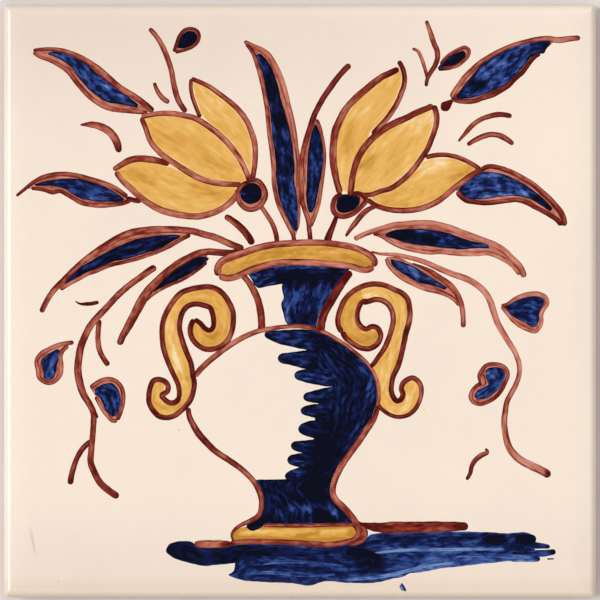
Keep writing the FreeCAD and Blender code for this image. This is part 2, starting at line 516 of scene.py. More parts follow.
BLUE_SHADOW = {
    "middle": Wash(0.68, (
        (228.5, 574), (233, 571), (235, 562), (238, 546), (243, 543), (256, 541), (261.5, 543), (281, 543),
        (300, 544), (330, 545), (348.5, 543), (357, 540.5), (367, 539.5), (385, 538), (410, 541),
    ), (
        (228.5, 574.8), (240, 579), (265, 581.5), (289.5, 582.5), (311.5, 584.6), (323, 581), (345, 582),
        (360, 582.6), (375, 582), (393, 578), (402.7, 576), (408.5, 573), (420, 571),
    )),
    "left_lobe": Wash(0.95, (
        (165.7, 550), (168.5, 544.5), (176, 541.3), (186, 540.8), (192.3, 542), (196, 546), (202.3, 547),
        (215, 546.3), (230, 545.3), (243, 544), (262, 545),
    ), (
        (166, 551.5), (172.7, 557), (186, 561.3), (195.5, 564), (203, 565.3), (218.5, 564), (234.5, 562.5),
        (262, 560),
    )),
    "right": Wash(0.6, (
        (365, 541), (370, 534.5), (378.5, 533), (395, 532.7), (420, 532), (440, 531.5), (490, 532),
        (505, 533), (530, 533.7), (536, 538.5),
    ), (
        (372, 565), (395, 572), (418.5, 571.7), (440, 568), (462, 565.5), (488.5, 562.5), (504, 561),
        (520, 560), (533, 561.5),
    )),
    "finger_1": Line(0.5, (10, 8, 6, 4), ((520, 544.5), (535, 545), (543, 545.5), (549.7, 546.5))),
    "finger_2": Line(0.45, (9, 8, 7, 5.5), ((520, 553.5), (538, 553), (548, 552.3), (555.5, 551))),
    "finger_3": Line(0.45, (13, 11, 8, 5), ((508, 555), (522, 556.5), (533, 558), (540, 558.7))),
    "tick": Line(0.8, (1.5,), ((547, 558.6), (550, 558.4), (553.5, 558.3))),
    "drip": Line(-0.2, (3, 4, 3), ((400, 584.5), (401.5, 587), (403, 590.5))),
    "drip_edge": Line(0.7, (2, 2.5, 2.5), ((401, 583), (403.5, 587), (405.3, 591))),
    "long_streak": Line(0.36, (2, 4, 4, 2), ((372, 553), (400, 550), (450, 549), (505, 549))),
    "long_dark": Line(0.76, (5, 9, 9, 7, 3), ((362, 545), (385, 541), (420, 539), (455, 538), (480, 538))),
    "low_streak": Line(0.45, (2, 4, 4, 3, 2), ((340, 579), (365, 578), (392, 574), (420, 567), (455, 562))),
    "right_streak": Line(0.46, (2, 4, 5, 3), ((455, 556), (490, 555), (515, 556), (535, 557))),
    "middle_streak": Line(0.52, (2, 4, 3, 2), ((262, 564), (290, 561), (320, 563), (345, 566))),
    "lower_streak": Line(0.52, (2, 4, 3, 2), ((240, 575), (270, 572), (300, 575), (335, 574))),
    "dark_swirl": Line(0.9, (6, 10, 9, 5), ((345, 552), (362, 553), (378, 559), (372, 568))),
    "dark_middle": Line(0.85, (6, 12, 10, 4), ((245, 553), (270, 551), (300, 552), (330, 552))),
    "dark_oval": Line(0.95, (9, 10, 9), ((484.5, 538.7), (495, 539), (506, 538.7))),
    "dark_end": Line(0.95, (9, 10, 9), ((514, 538.7), (525, 538.7), (536, 538.5))),
}

BROWN_LEAVES = {
    "top_left_upper": Line(0.52, (3, 5, 7, 6.5, 6), (
        (33, 50), (45, 48.5), (60, 49.7), (80, 57), (100, 70.5), (120, 87.5), (140, 100), (153, 111),
    )),
    "top_left_lower": Line(0.5, (3, 4.5, 5, 5, 4), (
        (33, 52), (38, 55.5), (52, 61), (67, 70.5), (78, 84), (92, 98.5), (108, 107.5), (127, 110.5),
        (147, 112),
    )),
    "left_upper": Line(0.6, (3, 4.5, 5, 5, 4.5), (
        (16, 195.5), (24, 189), (32, 182.5), (42, 177), (54, 174), (65, 173.5), (76, 175), (88, 178),
        (100, 181.5), (111, 185.6), (120, 191), (127, 196.5),
    )),
    "left_tail": Line(0.78, (5, 5.5), ((126, 197.5), (133, 199.5), (141, 200.5))),
    "left_lower": Line(0.5, (3.5, 4.5, 4.5, 5, 4.5), (
        (31, 188), (46, 190), (52, 192), (60, 190.5), (66, 193.5), (73.5, 198), (80.5, 202), (90, 204.3),
        (102, 205), (113, 204), (123, 202.5), (130, 200),
    )),
    "long_left_upper": Line(0.52, (5.5, 6, 5.5, 6.5, 7.5, 7.5, 7, 7, 7), (
        (41, 312), (45, 303), (50, 294.7), (56, 287), (63, 280), (71, 271.5), (80, 263.3), (90, 255.3),
        (100, 248.3), (111, 241.5), (121, 236), (132, 232), (145, 230), (168, 229), (180, 229.5),
        (192, 230.7), (203.5, 233.7), (215, 237), (225, 241.2), (235, 245.5), (243.5, 248.5),
    )),
    "long_left_lower": Line(0.5, (4,), (
        (60, 289), (68, 284), (77.5, 279), (87.5, 273.5), (96, 270.5), (104, 267), (113, 264), (123, 261.8),
        (135, 258.7), (147, 255), (160, 250), (170, 245.5), (177.5, 241), (190, 234.5),
    )),
    "low_left_upper": Line(0.64, (6.5, 8.5, 10, 8, 7, 7, 7, 6.5), (
        (119, 344.5), (121.5, 337.5), (127.3, 327.3), (133, 316.5), (138.5, 306), (143.8, 296.5), (150, 288),
        (158.5, 279), (168.5, 270), (178.5, 262.5), (188.5, 257), (197.7, 253), (207.5, 251.3), (220, 252),
        (232, 252.3), (243.5, 251.5),
    )),
    "low_left_lower": Line(0.55, (3,), (
        (146, 300), (153, 293.8), (161, 288.8), (171, 284), (181, 280), (191, 274), (200, 267.5),
        (206.5, 262),
    )),
    "tall_right": Line(0.44, (4, 6, 6, 5.5, 5, 4.5, 4, 3, 2), (
        (244, 40.7), (252.3, 45.3), (260.5, 49), (267.3, 54), (273, 62.3), (278, 72), (282, 82.3),
        (285, 92.3), (287.4, 102.3), (292.4, 122.3), (295.6, 142.3), (298, 165), (297.6, 185), (299, 215),
        (298, 227),
    )),
    "tall_left": Line(0.47, (4.5,), (
        (246, 43), (251, 49.5), (254.3, 56), (257.5, 66), (262.6, 86), (266.6, 108), (268.5, 128.5),
        (271.3, 150), (273.3, 170), (273.5, 181), (274.7, 190), (277, 200), (280.5, 209.5), (285, 218.5),
        (289, 226.5), (292.7, 234), (294, 241),
    )),
    "stalk": Line(0.66, (6, 6, 5.5, 5, 5), (
        (350, 64), (342.7, 71), (336, 79), (330, 87.3), (324, 96), (319, 104.5), (315, 112.5),
        (308.6, 130.5), (305.3, 141), (302.6, 152), (301.2, 180), (302.5, 203), (305, 211), (308, 220),
        (309, 229), (310.3, 240),
    )),
    "small_right": Line(0.5, (3, 3, 3.5, 4.5), (
        (316.5, 119), (319.7, 126), (321.7, 134.5), (323.8, 145), (324.6, 155), (323.1, 172.5), (320, 194.5),
        (318.2, 204.5), (315.5, 213), (310, 226),
    )),
    "top_right_upper": Line(0.5, (4.5, 5, 5, 5, 4.5, 4.5, 5, 6.5, 5), (
        (451, 97), (454.5, 90), (458.5, 84.5), (464.5, 76.5), (471.5, 69.5), (480, 62), (488.5, 56.5),
        (497.5, 51.5), (507, 47), (517, 43.3), (526.5, 40.8), (537.7, 38.6), (549, 38), (556, 39.5),
        (571, 38), (580, 37.5),
    )),
    "top_right_lower": Line(0.76, (4.5, 5.5, 5.5, 5, 3.5), (
        (451, 98), (456.5, 100), (464.5, 101), (473.5, 100.5), (483.5, 97), (493, 94), (500.3, 90),
        (508.3, 84.8), (515, 78), (522.6, 71.3), (528.2, 64), (534.3, 57), (540, 53.5),
    )),
    "right_upper": Line(0.62, (5, 5, 5.5, 6, 6), (
        (480, 170.5), (488, 166), (497.3, 167), (507.3, 170), (516, 174), (525, 179), (532.7, 184),
        (541, 191), (548.5, 197.7), (554.7, 204.5), (560.3, 211.5), (563.5, 219), (564, 225.5),
    )),
    "right_lower": Line(0.74, (5,), (
        (457, 191), (460.4, 196), (466, 200), (474.5, 201.5), (484, 202.5), (495, 201.8), (506, 200.3),
        (516, 199.3), (526, 202), (535, 206.7), (543.5, 211), (550.5, 215), (557.3, 220), (561, 225),
    )),
    "long_right_upper": Line(0.32, (5, 6, 6, 6), (
        (354, 239), (362.3, 234.5), (372.3, 230.8), (383, 227.5), (394, 224.5), (406, 223.3), (420, 222.5),
        (432, 223), (444, 225.5), (463, 232.3), (485, 240.5), (495, 244.5), (504, 250), (511.5, 257.3),
        (519, 265), (522.7, 272.3), (523.7, 277),
    )),
    "long_right_lower": Line(0.3, (3.5, 5, 5, 5), (
        (373, 233.5), (382, 236), (388, 240), (396, 244.3), (406, 247.8), (418.5, 250.3), (430.5, 251.8),
        (441, 251.3), (453, 252.6), (477, 253.3), (487.3, 252.5), (495, 254.7), (503.5, 258.8), (510, 263),
        (515, 268), (520, 274),
    )),
    "low_right_upper": Line(0.42, (2, 5, 6, 5.5, 5), (
        (412, 263), (421, 266.5), (430.7, 271), (440, 277.3), (450, 284.5), (456, 292.3), (460.3, 301),
        (462.3, 310.5), (463, 320), (463, 327),
    )),
    "low_right_lower": Line(0.32, (4, 5, 5, 5, 4), (
        (386, 258), (389, 265), (394, 270.7), (401.5, 277), (410, 281.7), (419, 286), (428.5, 289),
        (437.3, 291), (446, 294), (454, 299), (459, 305),
    )),
}

BROWN_TWIGS = {
    "left_twig": Line(0.55, (4.5, 5.5, 5.5, 6, 5.5), (
        (149, 28), (158, 38.5), (165, 52), (171, 70), (174.5, 88), (177, 97), (186, 111.5),
    )),
    "left_twig_dash": Line(0.55, (3.5, 5, 5), ((154, 82), (157, 90), (161, 96), (169, 102))),
    "left_arc": Line(0.5, (1.5, 6.5, 8, 8, 8, 6.5), (
        (80, 124.5), (86, 124), (95, 124.5), (103, 127.3), (110.5, 132.5), (115.5, 139.5), (118.5, 152),
    )),
    "left_dash": Line(0.65, (1, 4, 4), ((75, 300.5), (79, 303), (86, 303.5), (98.5, 301.5))),
    "left_branch": Line(0.62, (7, 6.5, 6.5, 7, 7.5, 8, 7, 6, 6.5, 7, 7), (
        (155.5, 266), (139, 277.5), (120.5, 292), (105, 308.5), (90, 325.5), (85, 335), (81, 345),
        (78.5, 357), (77.7, 371), (80, 384), (83.5, 394.5), (89.5, 404), (93.3, 412.5), (93.3, 421),
        (92, 439), (91, 450), (90.3, 461), (94, 471.5), (99, 481), (106.5, 488.5), (118.5, 496.5),
    )),
    "left_branch_nub": Line(0.7, (3, 4.5, 2.5), ((93, 410), (95.5, 414.5), (97.5, 417.5))),
    "left_fork": Line(0.62, (5.5,), (
        (99, 319), (98, 330), (97.7, 341), (99.5, 350), (104, 359), (108.5, 365),
    )),
    "left_low_fork": Line(0.66, (5.5, 5.5, 6.5), (
        (91, 440.5), (83.5, 447), (77.5, 456), (73.3, 467), (71, 476), (70, 484),
    )),
    "left_seed_ring": Line(0.58, (3.5,), (
        (173.7, 51.5), (176, 44), (179.7, 34.6), (184.2, 29.6), (190.2, 28), (196.7, 30.2), (199, 34.6),
        (197.2, 41.5), (191.7, 46.5), (184.2, 49.5), (175, 51.7),
    )),
    "left_drop_ring": Line(0.52, (4.5,), (
        (73.5, 342), (65, 343), (58.5, 344.5), (49, 348.5), (41, 353), (36.3, 360.5), (37.7, 370),
        (38.5, 376), (43.5, 381), (49.5, 382.5), (56, 379.3), (60, 374), (61, 364), (60.3, 355.5),
        (63, 349.5), (68, 345.5),
    )),
    "left_low_drop_back": Line(0.5, (4.5,), (
        (90, 387.5), (95, 383.7), (101, 380), (108.5, 378.5), (115.5, 380.6), (121, 386.5), (123, 395),
        (122.5, 403.5), (120.5, 411), (117, 419.5),
    )),
    "left_low_drop_front": Line(0.45, (4,), (
        (95.5, 396), (99, 403), (102.7, 409.5), (107.3, 415.5), (113, 420.4), (117, 420),
    )),
    "right_twig": Line(0.64, (3.5, 5.5, 5.5, 5, 3.5), (
        (426, 20), (428.6, 27.5), (431.3, 35.5), (434, 43.5), (437, 51), (437, 58.5), (434.6, 65.3),
        (430.3, 72), (427.3, 78), (426, 86),
    )),
    "right_twig_branch": Line(0.5, (3, 3.8, 3.5), (
        (412, 48.3), (417, 50.3), (421, 57), (423.7, 65), (427, 77),
    )),
    "right_seed_ring": Line(0.6, (3.5,), (
        (440.5, 64), (444.5, 58.5), (450.3, 53.4), (458, 49), (465, 46.7), (469, 49.8), (468, 55),
        (462.7, 61), (456, 65.8), (450, 67), (441, 67.5),
    )),
    "right_dot": Line(0.8, (8, 11, 7, 2.5), ((441, 109), (445, 106), (449, 102.5), (452.5, 99.5))),
    "right_arc": Line(0.62, (2, 5, 5, 5.5, 5), (
        (458, 141), (465, 133), (472.5, 124.5), (480.5, 119), (489.5, 115.6), (499, 114), (511.5, 116),
    )),
    "right_low_arc": Line(0.62, (4, 5.5, 5.5, 6, 4.5), (
        (467, 144.5), (473, 140.6), (481, 136.7), (490, 134), (499, 135), (506.5, 138.7), (513, 144),
    )),
    "right_tendril": Line(0.15, (2, 4.5, 5, 6, 6.5, 6.5, 6.5, 6, 5), (
        (371, 251), (378, 253), (388, 253.8), (398.5, 254.7), (408.5, 257), (418.5, 259.5), (428.5, 263.3),
        (440, 268.5), (451.5, 273.3), (460, 276), (470, 280.3), (478.5, 285.7), (485.3, 292.7), (490, 301),
        (493, 310), (496, 319), (500.4, 328.5), (505, 336), (510, 344), (515, 352.3), (518, 360.5),
    )),
    "right_tendril_end": Line(0.46, (5.5, 5, 5.5, 6, 6.5, 7.5, 8.5, 8), (
        (517, 357), (519.3, 368.5), (518.3, 376.5), (515, 385.5), (510, 394.5), (506.5, 402), (505, 410.5),
        (504, 421), (504.8, 431), (506.6, 440), (509.7, 448.5), (515.5, 455.5), (522.7, 461), (531.5, 465.5),
        (540.5, 469.7), (550, 475.5),
    )),
    "heart_ring": Line(0.28, (3, 5, 5, 4, 4, 4), (
        (501, 305), (507, 303.5), (514, 299), (522.3, 295.3), (531, 293.3), (539.5, 293.8), (545.3, 297.3),
        (546.7, 302.3), (543.3, 308.5), (541, 314), (541.3, 321), (539, 327.3), (535.3, 331), (527.3, 329),
        (519.5, 325.3), (512.3, 319.5), (507, 312.8), (501.5, 306),
    )),
    "kidney_ring": Line(0.6, (4,), (
        (482, 384), (480, 380), (479, 375.5), (482, 369), (486.5, 364.7), (493.5, 363.5), (500.3, 364.5),
        (506, 368.5), (507.8, 374.5), (505.3, 381.5), (501, 390), (495, 397), (487.3, 401.5), (479, 403.8),
        (473, 401.5), (470.3, 396.5), (472, 390.5), (477, 385), (482, 382),
    )),
    "kidney_fill": Line(0.5, (5, 7, 5), ((482, 373), (482.5, 379), (484, 385))),
    "right_dash": Line(0.6, (3, 5.5, 5, 4.5, 3.5), (
        (485, 448), (487, 451.5), (481.5, 454.7), (475.3, 459.5), (471.7, 465), (470, 472.3), (466, 479.3),
    )),
}

BROWN_FLOWERS = {
    "left_high_petal_back": Line(0.62, (4, 4, 4.5), LEFT_HIGH_PETAL_BACK),
    "left_high_petal_front": Line(0.54, (4.5, 5.5, 6, 5.5), LEFT_HIGH_PETAL_FRONT),
    "left_middle_petal_top": Line(0.48, (5, 6, 6, 5.5), LEFT_MIDDLE_PETAL_TOP),
    "left_middle_petal_under": Line(0.42, (5, 6, 6.5, 5.5), LEFT_MIDDLE_PETAL_UNDER),
    "left_low_petal_top": Line(0.6, (5, 7, 7, 6), LEFT_LOW_PETAL_TOP),
    "left_low_petal_under": Line(0.42, (5.5, 6.5, 7, 6.5, 6), LEFT_LOW_PETAL_UNDER),
    "left_bud_ring": Line(0.6, (4, 5, 5, 5, 4), (
        (247, 181.5), (257.5, 180), (263, 186), (265.6, 194), (262.5, 202.5), (256, 208), (248, 209),
        (240.6, 204), (237.5, 196), (239, 188), (248, 181.5),
    )),
    "left_stem": Line(0.52, (4.5, 5, 5), ((259.5, 204), (267, 215), (272, 223), (275, 231), (276.7, 242.5))),
    "left_sepal": Line(0.82, (6, 7.5, 7), ((224.5, 215.5), (234, 221.5), (242.5, 229), (252.5, 244))),
    "right_high_petal_back": Line(0.62, (6, 7, 7, 8, 7.5, 6.5), RIGHT_HIGH_PETAL_BACK),
    "right_high_petal_front": Line(0.62, (5, 5.5, 5.5), RIGHT_HIGH_PETAL_FRONT),
    "right_middle_petal_top": Line(0.66, (6, 7, 7, 6.5), RIGHT_MIDDLE_PETAL_TOP),
    "right_middle_petal_under": Line(0.6, (6, 5.5, 5.5, 5), RIGHT_MIDDLE_PETAL_UNDER),
    "right_low_petal_top": Line(0.56, (4.8,), RIGHT_LOW_PETAL_TOP),
    "right_low_petal_under": Line(0.54, (5, 6, 6, 6), RIGHT_LOW_PETAL_UNDER),
    "right_bud_ring": Line(0.72, (5,), (
        (342, 193.5), (336, 196.5), (332.5, 204), (334, 212.3), (340, 216), (348, 215.3), (355.5, 211.5),
        (361.5, 205.5), (366, 199.5), (362, 194.5), (352, 193.5),
    )),
    "right_stem": Line(0.85, (4, 6, 8), ((337, 214), (333, 224.5), (330, 232), (327.5, 239), (327, 243.5))),
    "right_sepal": Line(0.7, (2.5, 5.5, 6, 4), (
        (345.5, 236), (350, 229), (355.5, 222), (361, 215), (368, 209), (376, 205.7),
    )),
}

BROWN_VASE = {
    "lip_top": Line(0.46, (7.5, 7, 6.5, 6.5), LIP_TOP),
    "lip_under": Line(0.42, (7, 7, 6.5, 6.5), LIP_UNDER),
    "neck_left": Line(0.55, (5.5, 7, 7.5, 7.5), (
        (241.5, 274), (249, 282.5), (254, 291), (258, 300.5), (260.3, 311), (261, 332),
    )),
    "neck_right": Line(0.84, (7.5, 8.5, 8.5, 8.5), NECK_RIGHT),
    "shoulder_left": Line(0.46, (6, 6, 5.5, 4.5, 4.5), SHOULDER_LEFT),
    "shoulder_right": Line(0.35, (4, 3.5, 3.5, 4), SHOULDER_RIGHT),
    "belly_right": Line(0.5, (5, 6.5, 6.5, 6.5, 6, 6.5, 6), BELLY_RIGHT),
    "belly_left": Line(0.58, (5, 7, 6.5, 6, 5.5, 5.5, 4.5, 2), BELLY_LEFT),
    "foot_top": Line(0.5, (4,), ((263, 524.5), (300, 525.3), (330, 524.5), (357, 524))),
    "foot_end": Line(0.6, (6, 6, 6, 4), ((352, 523.5), (357.5, 528), (357.5, 535), (350, 540.5))),
    "foot_end_outside": Line(0.7, (5, 8.5, 8.5, 6), (
        (355, 522), (362.5, 528.5), (363.5, 535), (357, 540.5), (348, 543),
    )),
    "foot_under": Line(0.42, (5.5, 5.5, 6, 5.5), FOOT_UNDER),
    "ground_left": Line(0.24, (6, 8, 8, 6), ((194, 543.5), (206, 543.5), (217, 543.5), (231, 543.8))),
    "ground_right": Line(0.78, (3, 9, 12, 12, 11.5, 11, 10, 8), (
        (358, 523), (366, 525), (378, 527), (400, 527), (430, 526.5), (450, 526), (468, 526),
    )),
}

BROWN_HANDLES = {
    "left_back": Line(
        0.74, (5, 5.6, 5.6, 5.6), ((178.5, 398),) + LEFT_HANDLE_BACK + LEFT_SPIRAL_OUTSIDE[1:]
    ),
    "left_front": Line(0.78, (5, 5.5, 5.5, 5.5), LEFT_SPIRAL_INSIDE + LEFT_HANDLE_FRONT[1:]),
    "left_scroll": Line(0.76, (5.5,), LEFT_SCROLL_OUTSIDE + LEFT_SCROLL_INSIDE[1:]),
    "right_back": Line(
        0.74, (5.5, 5.5, 5.5, 6, 5.5, 5.5, 4.5, 4),
        RIGHT_SPIRAL_BACK + RIGHT_HANDLE_BACK[1:] + RIGHT_SCROLL_INSIDE[1:] + RIGHT_SCROLL_OUTSIDE[1:]
        + ((377.5, 404),),
    ),
    "right_front": Line(0.7, (5.5, 5.5, 5.5, 4.5), ((362, 302), *RIGHT_HANDLE_FRONT, (369.5, 367))),
    "right_spiral": Line(0.76, (5, 5.6, 5.6), RIGHT_SPIRAL_INSIDE + RIGHT_SPIRAL_FRONT[1:]),
}


def between(first, second):
    """Thin brown wash between two stretches of outline."""
    return Wash(BED_PIGMENT, first, second)


def outline(name, *stretch):
    """A brown outline's path, or a stretch of it by the numbers of its points, as a slice takes them."""
    points = {**BROWN_LEAVES, **BROWN_TWIGS, **BROWN_FLOWERS}[name].points
    return points[slice(*stretch)] if stretch else points


BROWN_BEDS = {
    "top_left": between(outline("top_left_upper"), outline("top_left_lower")),
    "left": between(outline("left_upper", 1, None), outline("left_lower")),
    "long_left": between(outline("long_left_upper", 3, 16), outline("long_left_lower")),
    "low_left": between(outline("low_left_upper", 5, 13), outline("low_left_lower")),
    "tall": between(outline("tall_left"), outline("tall_right")),
    "small": between(outline("stalk", 6, 14), outline("small_right")),
    "top_right": between(outline("top_right_upper", 14), outline("top_right_lower")),
    "right": between(RIGHT_LOW_PETAL_UNDER[9:] + outline("right_upper", 1, None), outline("right_lower")),
    "long_right": between(outline("long_right_upper", 2, None), outline("long_right_lower")),
    "low_right": between(
        ((386, 257), (398, 257)) + outline("low_right_upper", 7), outline("low_right_lower")
    ),
    "left_seed": between(outline("left_seed_ring", 7), outline("left_seed_ring", 10, 5, -1)),
    "right_seed": between(outline("right_seed_ring", 6), outline("right_seed_ring", 10, 4, -1)),
    "left_drop": between(outline("left_drop_ring", 9), outline("left_drop_ring", 15, 8, -1)),
    "left_low_drop": between(outline("left_low_drop_back"), outline("left_low_drop_front")),
    "heart": between(outline("heart_ring", 10), outline("heart_ring", 17, 9, -1)),
    "kidney": between(
        outline("kidney_ring", 3, 14),
        outline("kidney_ring", 2, None, -1) + outline("kidney_ring", 17, 13, -1),
    ),
    "left_bud": between(outline("left_bud_ring", 6), outline("left_bud_ring", 10, 5, -1)),
    "right_bud": between(outline("right_bud_ring", 8, 11), outline("right_bud_ring", 7, 0, -1)),
}

YELLOW_DABS = (
    Dab(0.2, 6, (205, 158), (228, 170)),
    Dab(0.3, 6, (195, 187), (225, 195)),
    Dab(0.15, 9, (155, 135), (195, 148)),
    Dab(-0.1, 9, (200, 92), (218, 106)),
    Dab(0.25, 7, (132, 172), (150, 180)),
    Dab(0.35, 6, (362, 165), (372, 158)),
    Dab(-0.3, 9, (415, 125), (428, 116)),
    Dab(-0.3, 8, (425, 168), (442, 164)),
    Dab(0.35, 4, (452, 178), (470, 170)),
    Dab(0.25, 6, (345, 150), (352, 125)),
    Dab(0.25, 6, (385, 202), (405, 204)),
    Dab(0.15, 4, (262, 255), (300, 250)),
    Dab(0.2, 5, (345, 257), (368, 262)),
    Dab(0.12, 7, (350, 335), (372, 338)),
    Dab(0.15, 6, (206, 341), (222, 334)),
    Dab(-0.35, 6, (170, 325), (178, 368)),
    Dab(-0.1, 7, (405, 402), (412, 390)),
    Dab(-0.4, 3, (240, 531.5), (345, 531)),
    Dab(0.45, 2, (298, 536.5), (318, 531)),
    Dab(0.4, 2, (236, 538.5), (345, 539.5)),
    Dab(0.3, 2, (262, 526.5), (352, 526.5)),
)

BLUE_DABS = (
    Dab(0.5, 2.5, (553.5, 551.5), (556, 551)),
    Dab(0.4, 8, (343, 203), (350, 202)),
    Dab(0.4, 4, (538, 198), (552, 209)),
    Dab(0.4, 6, (392, 235), (428, 238)),
    Dab(0.35, 4, (538, 46), (550, 43)),
    Dab(-0.25, 4, (390, 571), (530, 560)),
    Dab(-0.3, 6, (300, 505), (335, 512)),
    Dab(-0.3, 2.5, (120, 257), (150, 250)),
    Dab(0.35, 8, (268, 80), (279, 122)),
    Dab(-0.2, 3, (270, 105), (273, 150)),
    Dab(0.45, 5, (472, 85), (482, 84)),
    Dab(-0.3, 2.5, (480, 197), (525, 194)),
    Dab(0.4, 8, (284, 278), (332, 277)),
    Dab(0.4, 7, (298, 318), (313, 317)),
    Dab(-0.3, 3, (284, 290), (286, 322)),
    Dab(-0.3, 2.5, (275, 266.5), (325, 266.5)),
    Dab(-0.25, 4, (252, 276), (260, 283)),
    Dab(-0.2, 3, (327, 298), (333, 289)),
    Dab(0.4, 18, (325, 435), (315, 495)),
    Dab(-0.25, 5, (360, 358), (371, 395)),
    Dab(-0.2, 4, (348, 446), (364, 422)),
    Dab(-0.2, 5, (285, 510), (325, 508)),
    Dab(0.35, 9, (360, 556), (376, 562)),
    Dab(-0.25, 3, (382, 550), (425, 549)),
    Dab(-0.25, 3, (350, 577), (400, 575)),
    Dab(-0.2, 3, (430, 549), (500, 548)),
    Dab(-0.2, 4, (420, 562), (470, 560)),
    Dab(0.4, 5, (487, 540), (503, 540)),
    Dab(0.4, 5, (518, 539), (531, 539)),
)

BROWN_DABS = (
    Dab(-0.3, 6, (522, 460), (541, 469)),
    Dab(0.4, 4, (117, 143), (118.5, 150)),
    Dab(0.5, 3, (547, 473.5), (550, 475)),
    Dab(0.25, 6, (190, 412), (212, 447)),
    Dab(0.5, 4, (225, 544), (230, 544)),
    Dab(0.4, 5, (348, 273), (346, 277)),
    Dab(0.4, 4, (406, 330), (405, 334)),
    Dab(0.35, 4, (248, 181), (250, 182)),
    Dab(0.35, 4, (190, 377), (191, 378)),
)


def linear(*values):
    """Scene-linear colour of a display colour whose parts go from 0 to 255."""
    shares = np.asarray(values) / 255
    return tuple(np.where(shares <= 0.04045, shares / 12.92, ((shares + 0.055) / 1.055) ** 2.4))


def length_property(name, description, millimetres):
    """A length that a user may change."""
    return bpy.props.FloatProperty(
        name=name, description=description, default=millimetres * MM, min=0.0, precision=5, unit="LENGTH"
    )


def angle_property(name, description, degrees):
    """An angle that a user may change."""
    return bpy.props.FloatProperty(
        name=name, description=description, default=math.radians(degrees), unit="ROTATION"
    )


def number_property(name, description, default):
    """A plain number, 0 or more, that a user may change."""
    return bpy.props.FloatProperty(name=name, description=description, default=default, min=0.0)


def colour_property(name, description, *display):
    """A colour that a user may change, given as a display colour from 0 to 255."""
    return bpy.props.FloatVectorProperty(
        name=name, description=description, default=linear(*display), min=0.0, max=1.0, subtype="COLOR"
    )


class TileSizes(bpy.types.PropertyGroup):
    """Sizes of the fired tile that its overall box doesn't give."""

    roll_width: length_property("Roll width", "Width of the gentle fall along the face's edge", 4.5)
    roll_angle: angle_property("Roll angle", "Slope at the outer end of the roll", 8.0)
    arris_radius: length_property("Arris radius", "Radius of the turn from the roll into the side", 2.4)
    corner_radius: length_property("Corner radius", "Radius of the upright corners", 1.2)
    back_bevel: length_property("Back bevel", "Width and height of the bevel round the back", 0.8)
    key_cell: length_property("Key cell", "Mouth of one square pocket of the key", 11.0)
    key_rib: length_property("Key rib", "Width of the ribs between the pockets", 3.0)
    key_depth: length_property("Key depth", "Depth of the pockets", 0.8)
    key_wall: angle_property("Key wall", "Lean of the pockets' walls", 30.0)
    key_border: length_property("Key border", "Least width of the rim round the key", 5.0)
    ripple: length_property("Ripple", "Height of the glaze's slow swells", 0.02)
    hem_height: length_property("Hem height", "How high up the sides the glaze ends", 2.3)
    hem_wander: length_property("Hem wander", "How far the glaze's hem strays up and down", 0.5)
    glaze_step: length_property("Glaze step", "How far the glaze stands proud of the bare clay", 0.12)
    yellow_film: length_property("Yellow film", "Height of the yellow washes over the glaze", 0.003)
    bed_film: length_property("Bed film", "Height of the brown beds under the blue leaves", 0.003)
    blue_film: length_property("Blue film", "Height of the blue washes over the glaze", 0.016)
    brown_film: length_property("Brown film", "Height of the brown lines over the glaze", 0.032)


class TileColours(bpy.types.PropertyGroup):
    """Colours of the glaze, the clay and the three paints, each paint from thin to pooled."""

    glaze: colour_property("Glaze", "Cream tin glaze", 250, 233, 215)
    # The thin glaze colour is also the painted shade at the top left, the left and the bottom of the face.
    glaze_thin_and_shade: colour_property("Thin glaze", "Glaze where it is thin over the clay", 234, 216, 201)
    smear: colour_property("Smear", "Faint grey smear in the glaze", 160, 148, 158)
    # The buff glaze colour is also the painted shade along the bottom edge.
    glaze_buff_and_bottom_shade: colour_property("Buff glaze", "Glaze that lets the clay through at the edges", 212, 182, 146)
    clay: colour_property("Clay", "Bare fired clay", 205, 160, 120)
    clay_dark: colour_property("Dark clay", "Darker grains of the clay", 168, 120, 84)
    yellow_1: colour_property("Yellow, thin", "Thinnest yellow wash", 249, 225, 178)
    yellow_2: colour_property("Yellow, light", "Light yellow wash", 237, 186, 104)
    yellow_3: colour_property("Yellow, full", "Full yellow wash", 221, 162, 76)
    yellow_4: colour_property("Yellow, pooled", "Pooled ochre", 190, 134, 48)
    blue_1: colour_property("Blue, thin", "Thinnest cobalt", 112, 140, 186)
    blue_2: colour_property("Blue, light", "Light cobalt", 51, 75, 141)
    blue_3: colour_property("Blue, full", "Full cobalt", 15, 26, 74)
    blue_4: colour_property("Blue, pooled", "Pooled cobalt", 4, 7, 26)
    brown_1: colour_property("Brown, thin", "Thinnest brown", 214, 146, 130)
    brown_2: colour_property("Brown, light", "Light brown", 188, 111, 89)
    brown_3: colour_property("Brown, full", "Full brown", 134, 50, 36)
    brown_4: colour_property("Brown, pooled", "Pooled brown", 80, 13, 9)


class StageSettings(bpy.types.PropertyGroup):
    """Floor, light and camera."""

    floor: colour_property("Floor", "Plain pale floor", 226, 220, 216)
    wall: colour_property("Wall", "Pale wall behind the floor", 230, 225, 221)
    sky: number_property("Sky", "Strength of the even light", 0.03)
    key: number_property("Key", "Strength of the lamp from the left", 2.43)
    fill: number_property("Fill", "Strength of each of the three soft lamps round the tile", 0.82)
    key_softness: angle_property("Key softness", "Apparent size of the lamp", 25.0)
    lens: number_property("Lens", "Focal length in millimetres", 200.0)


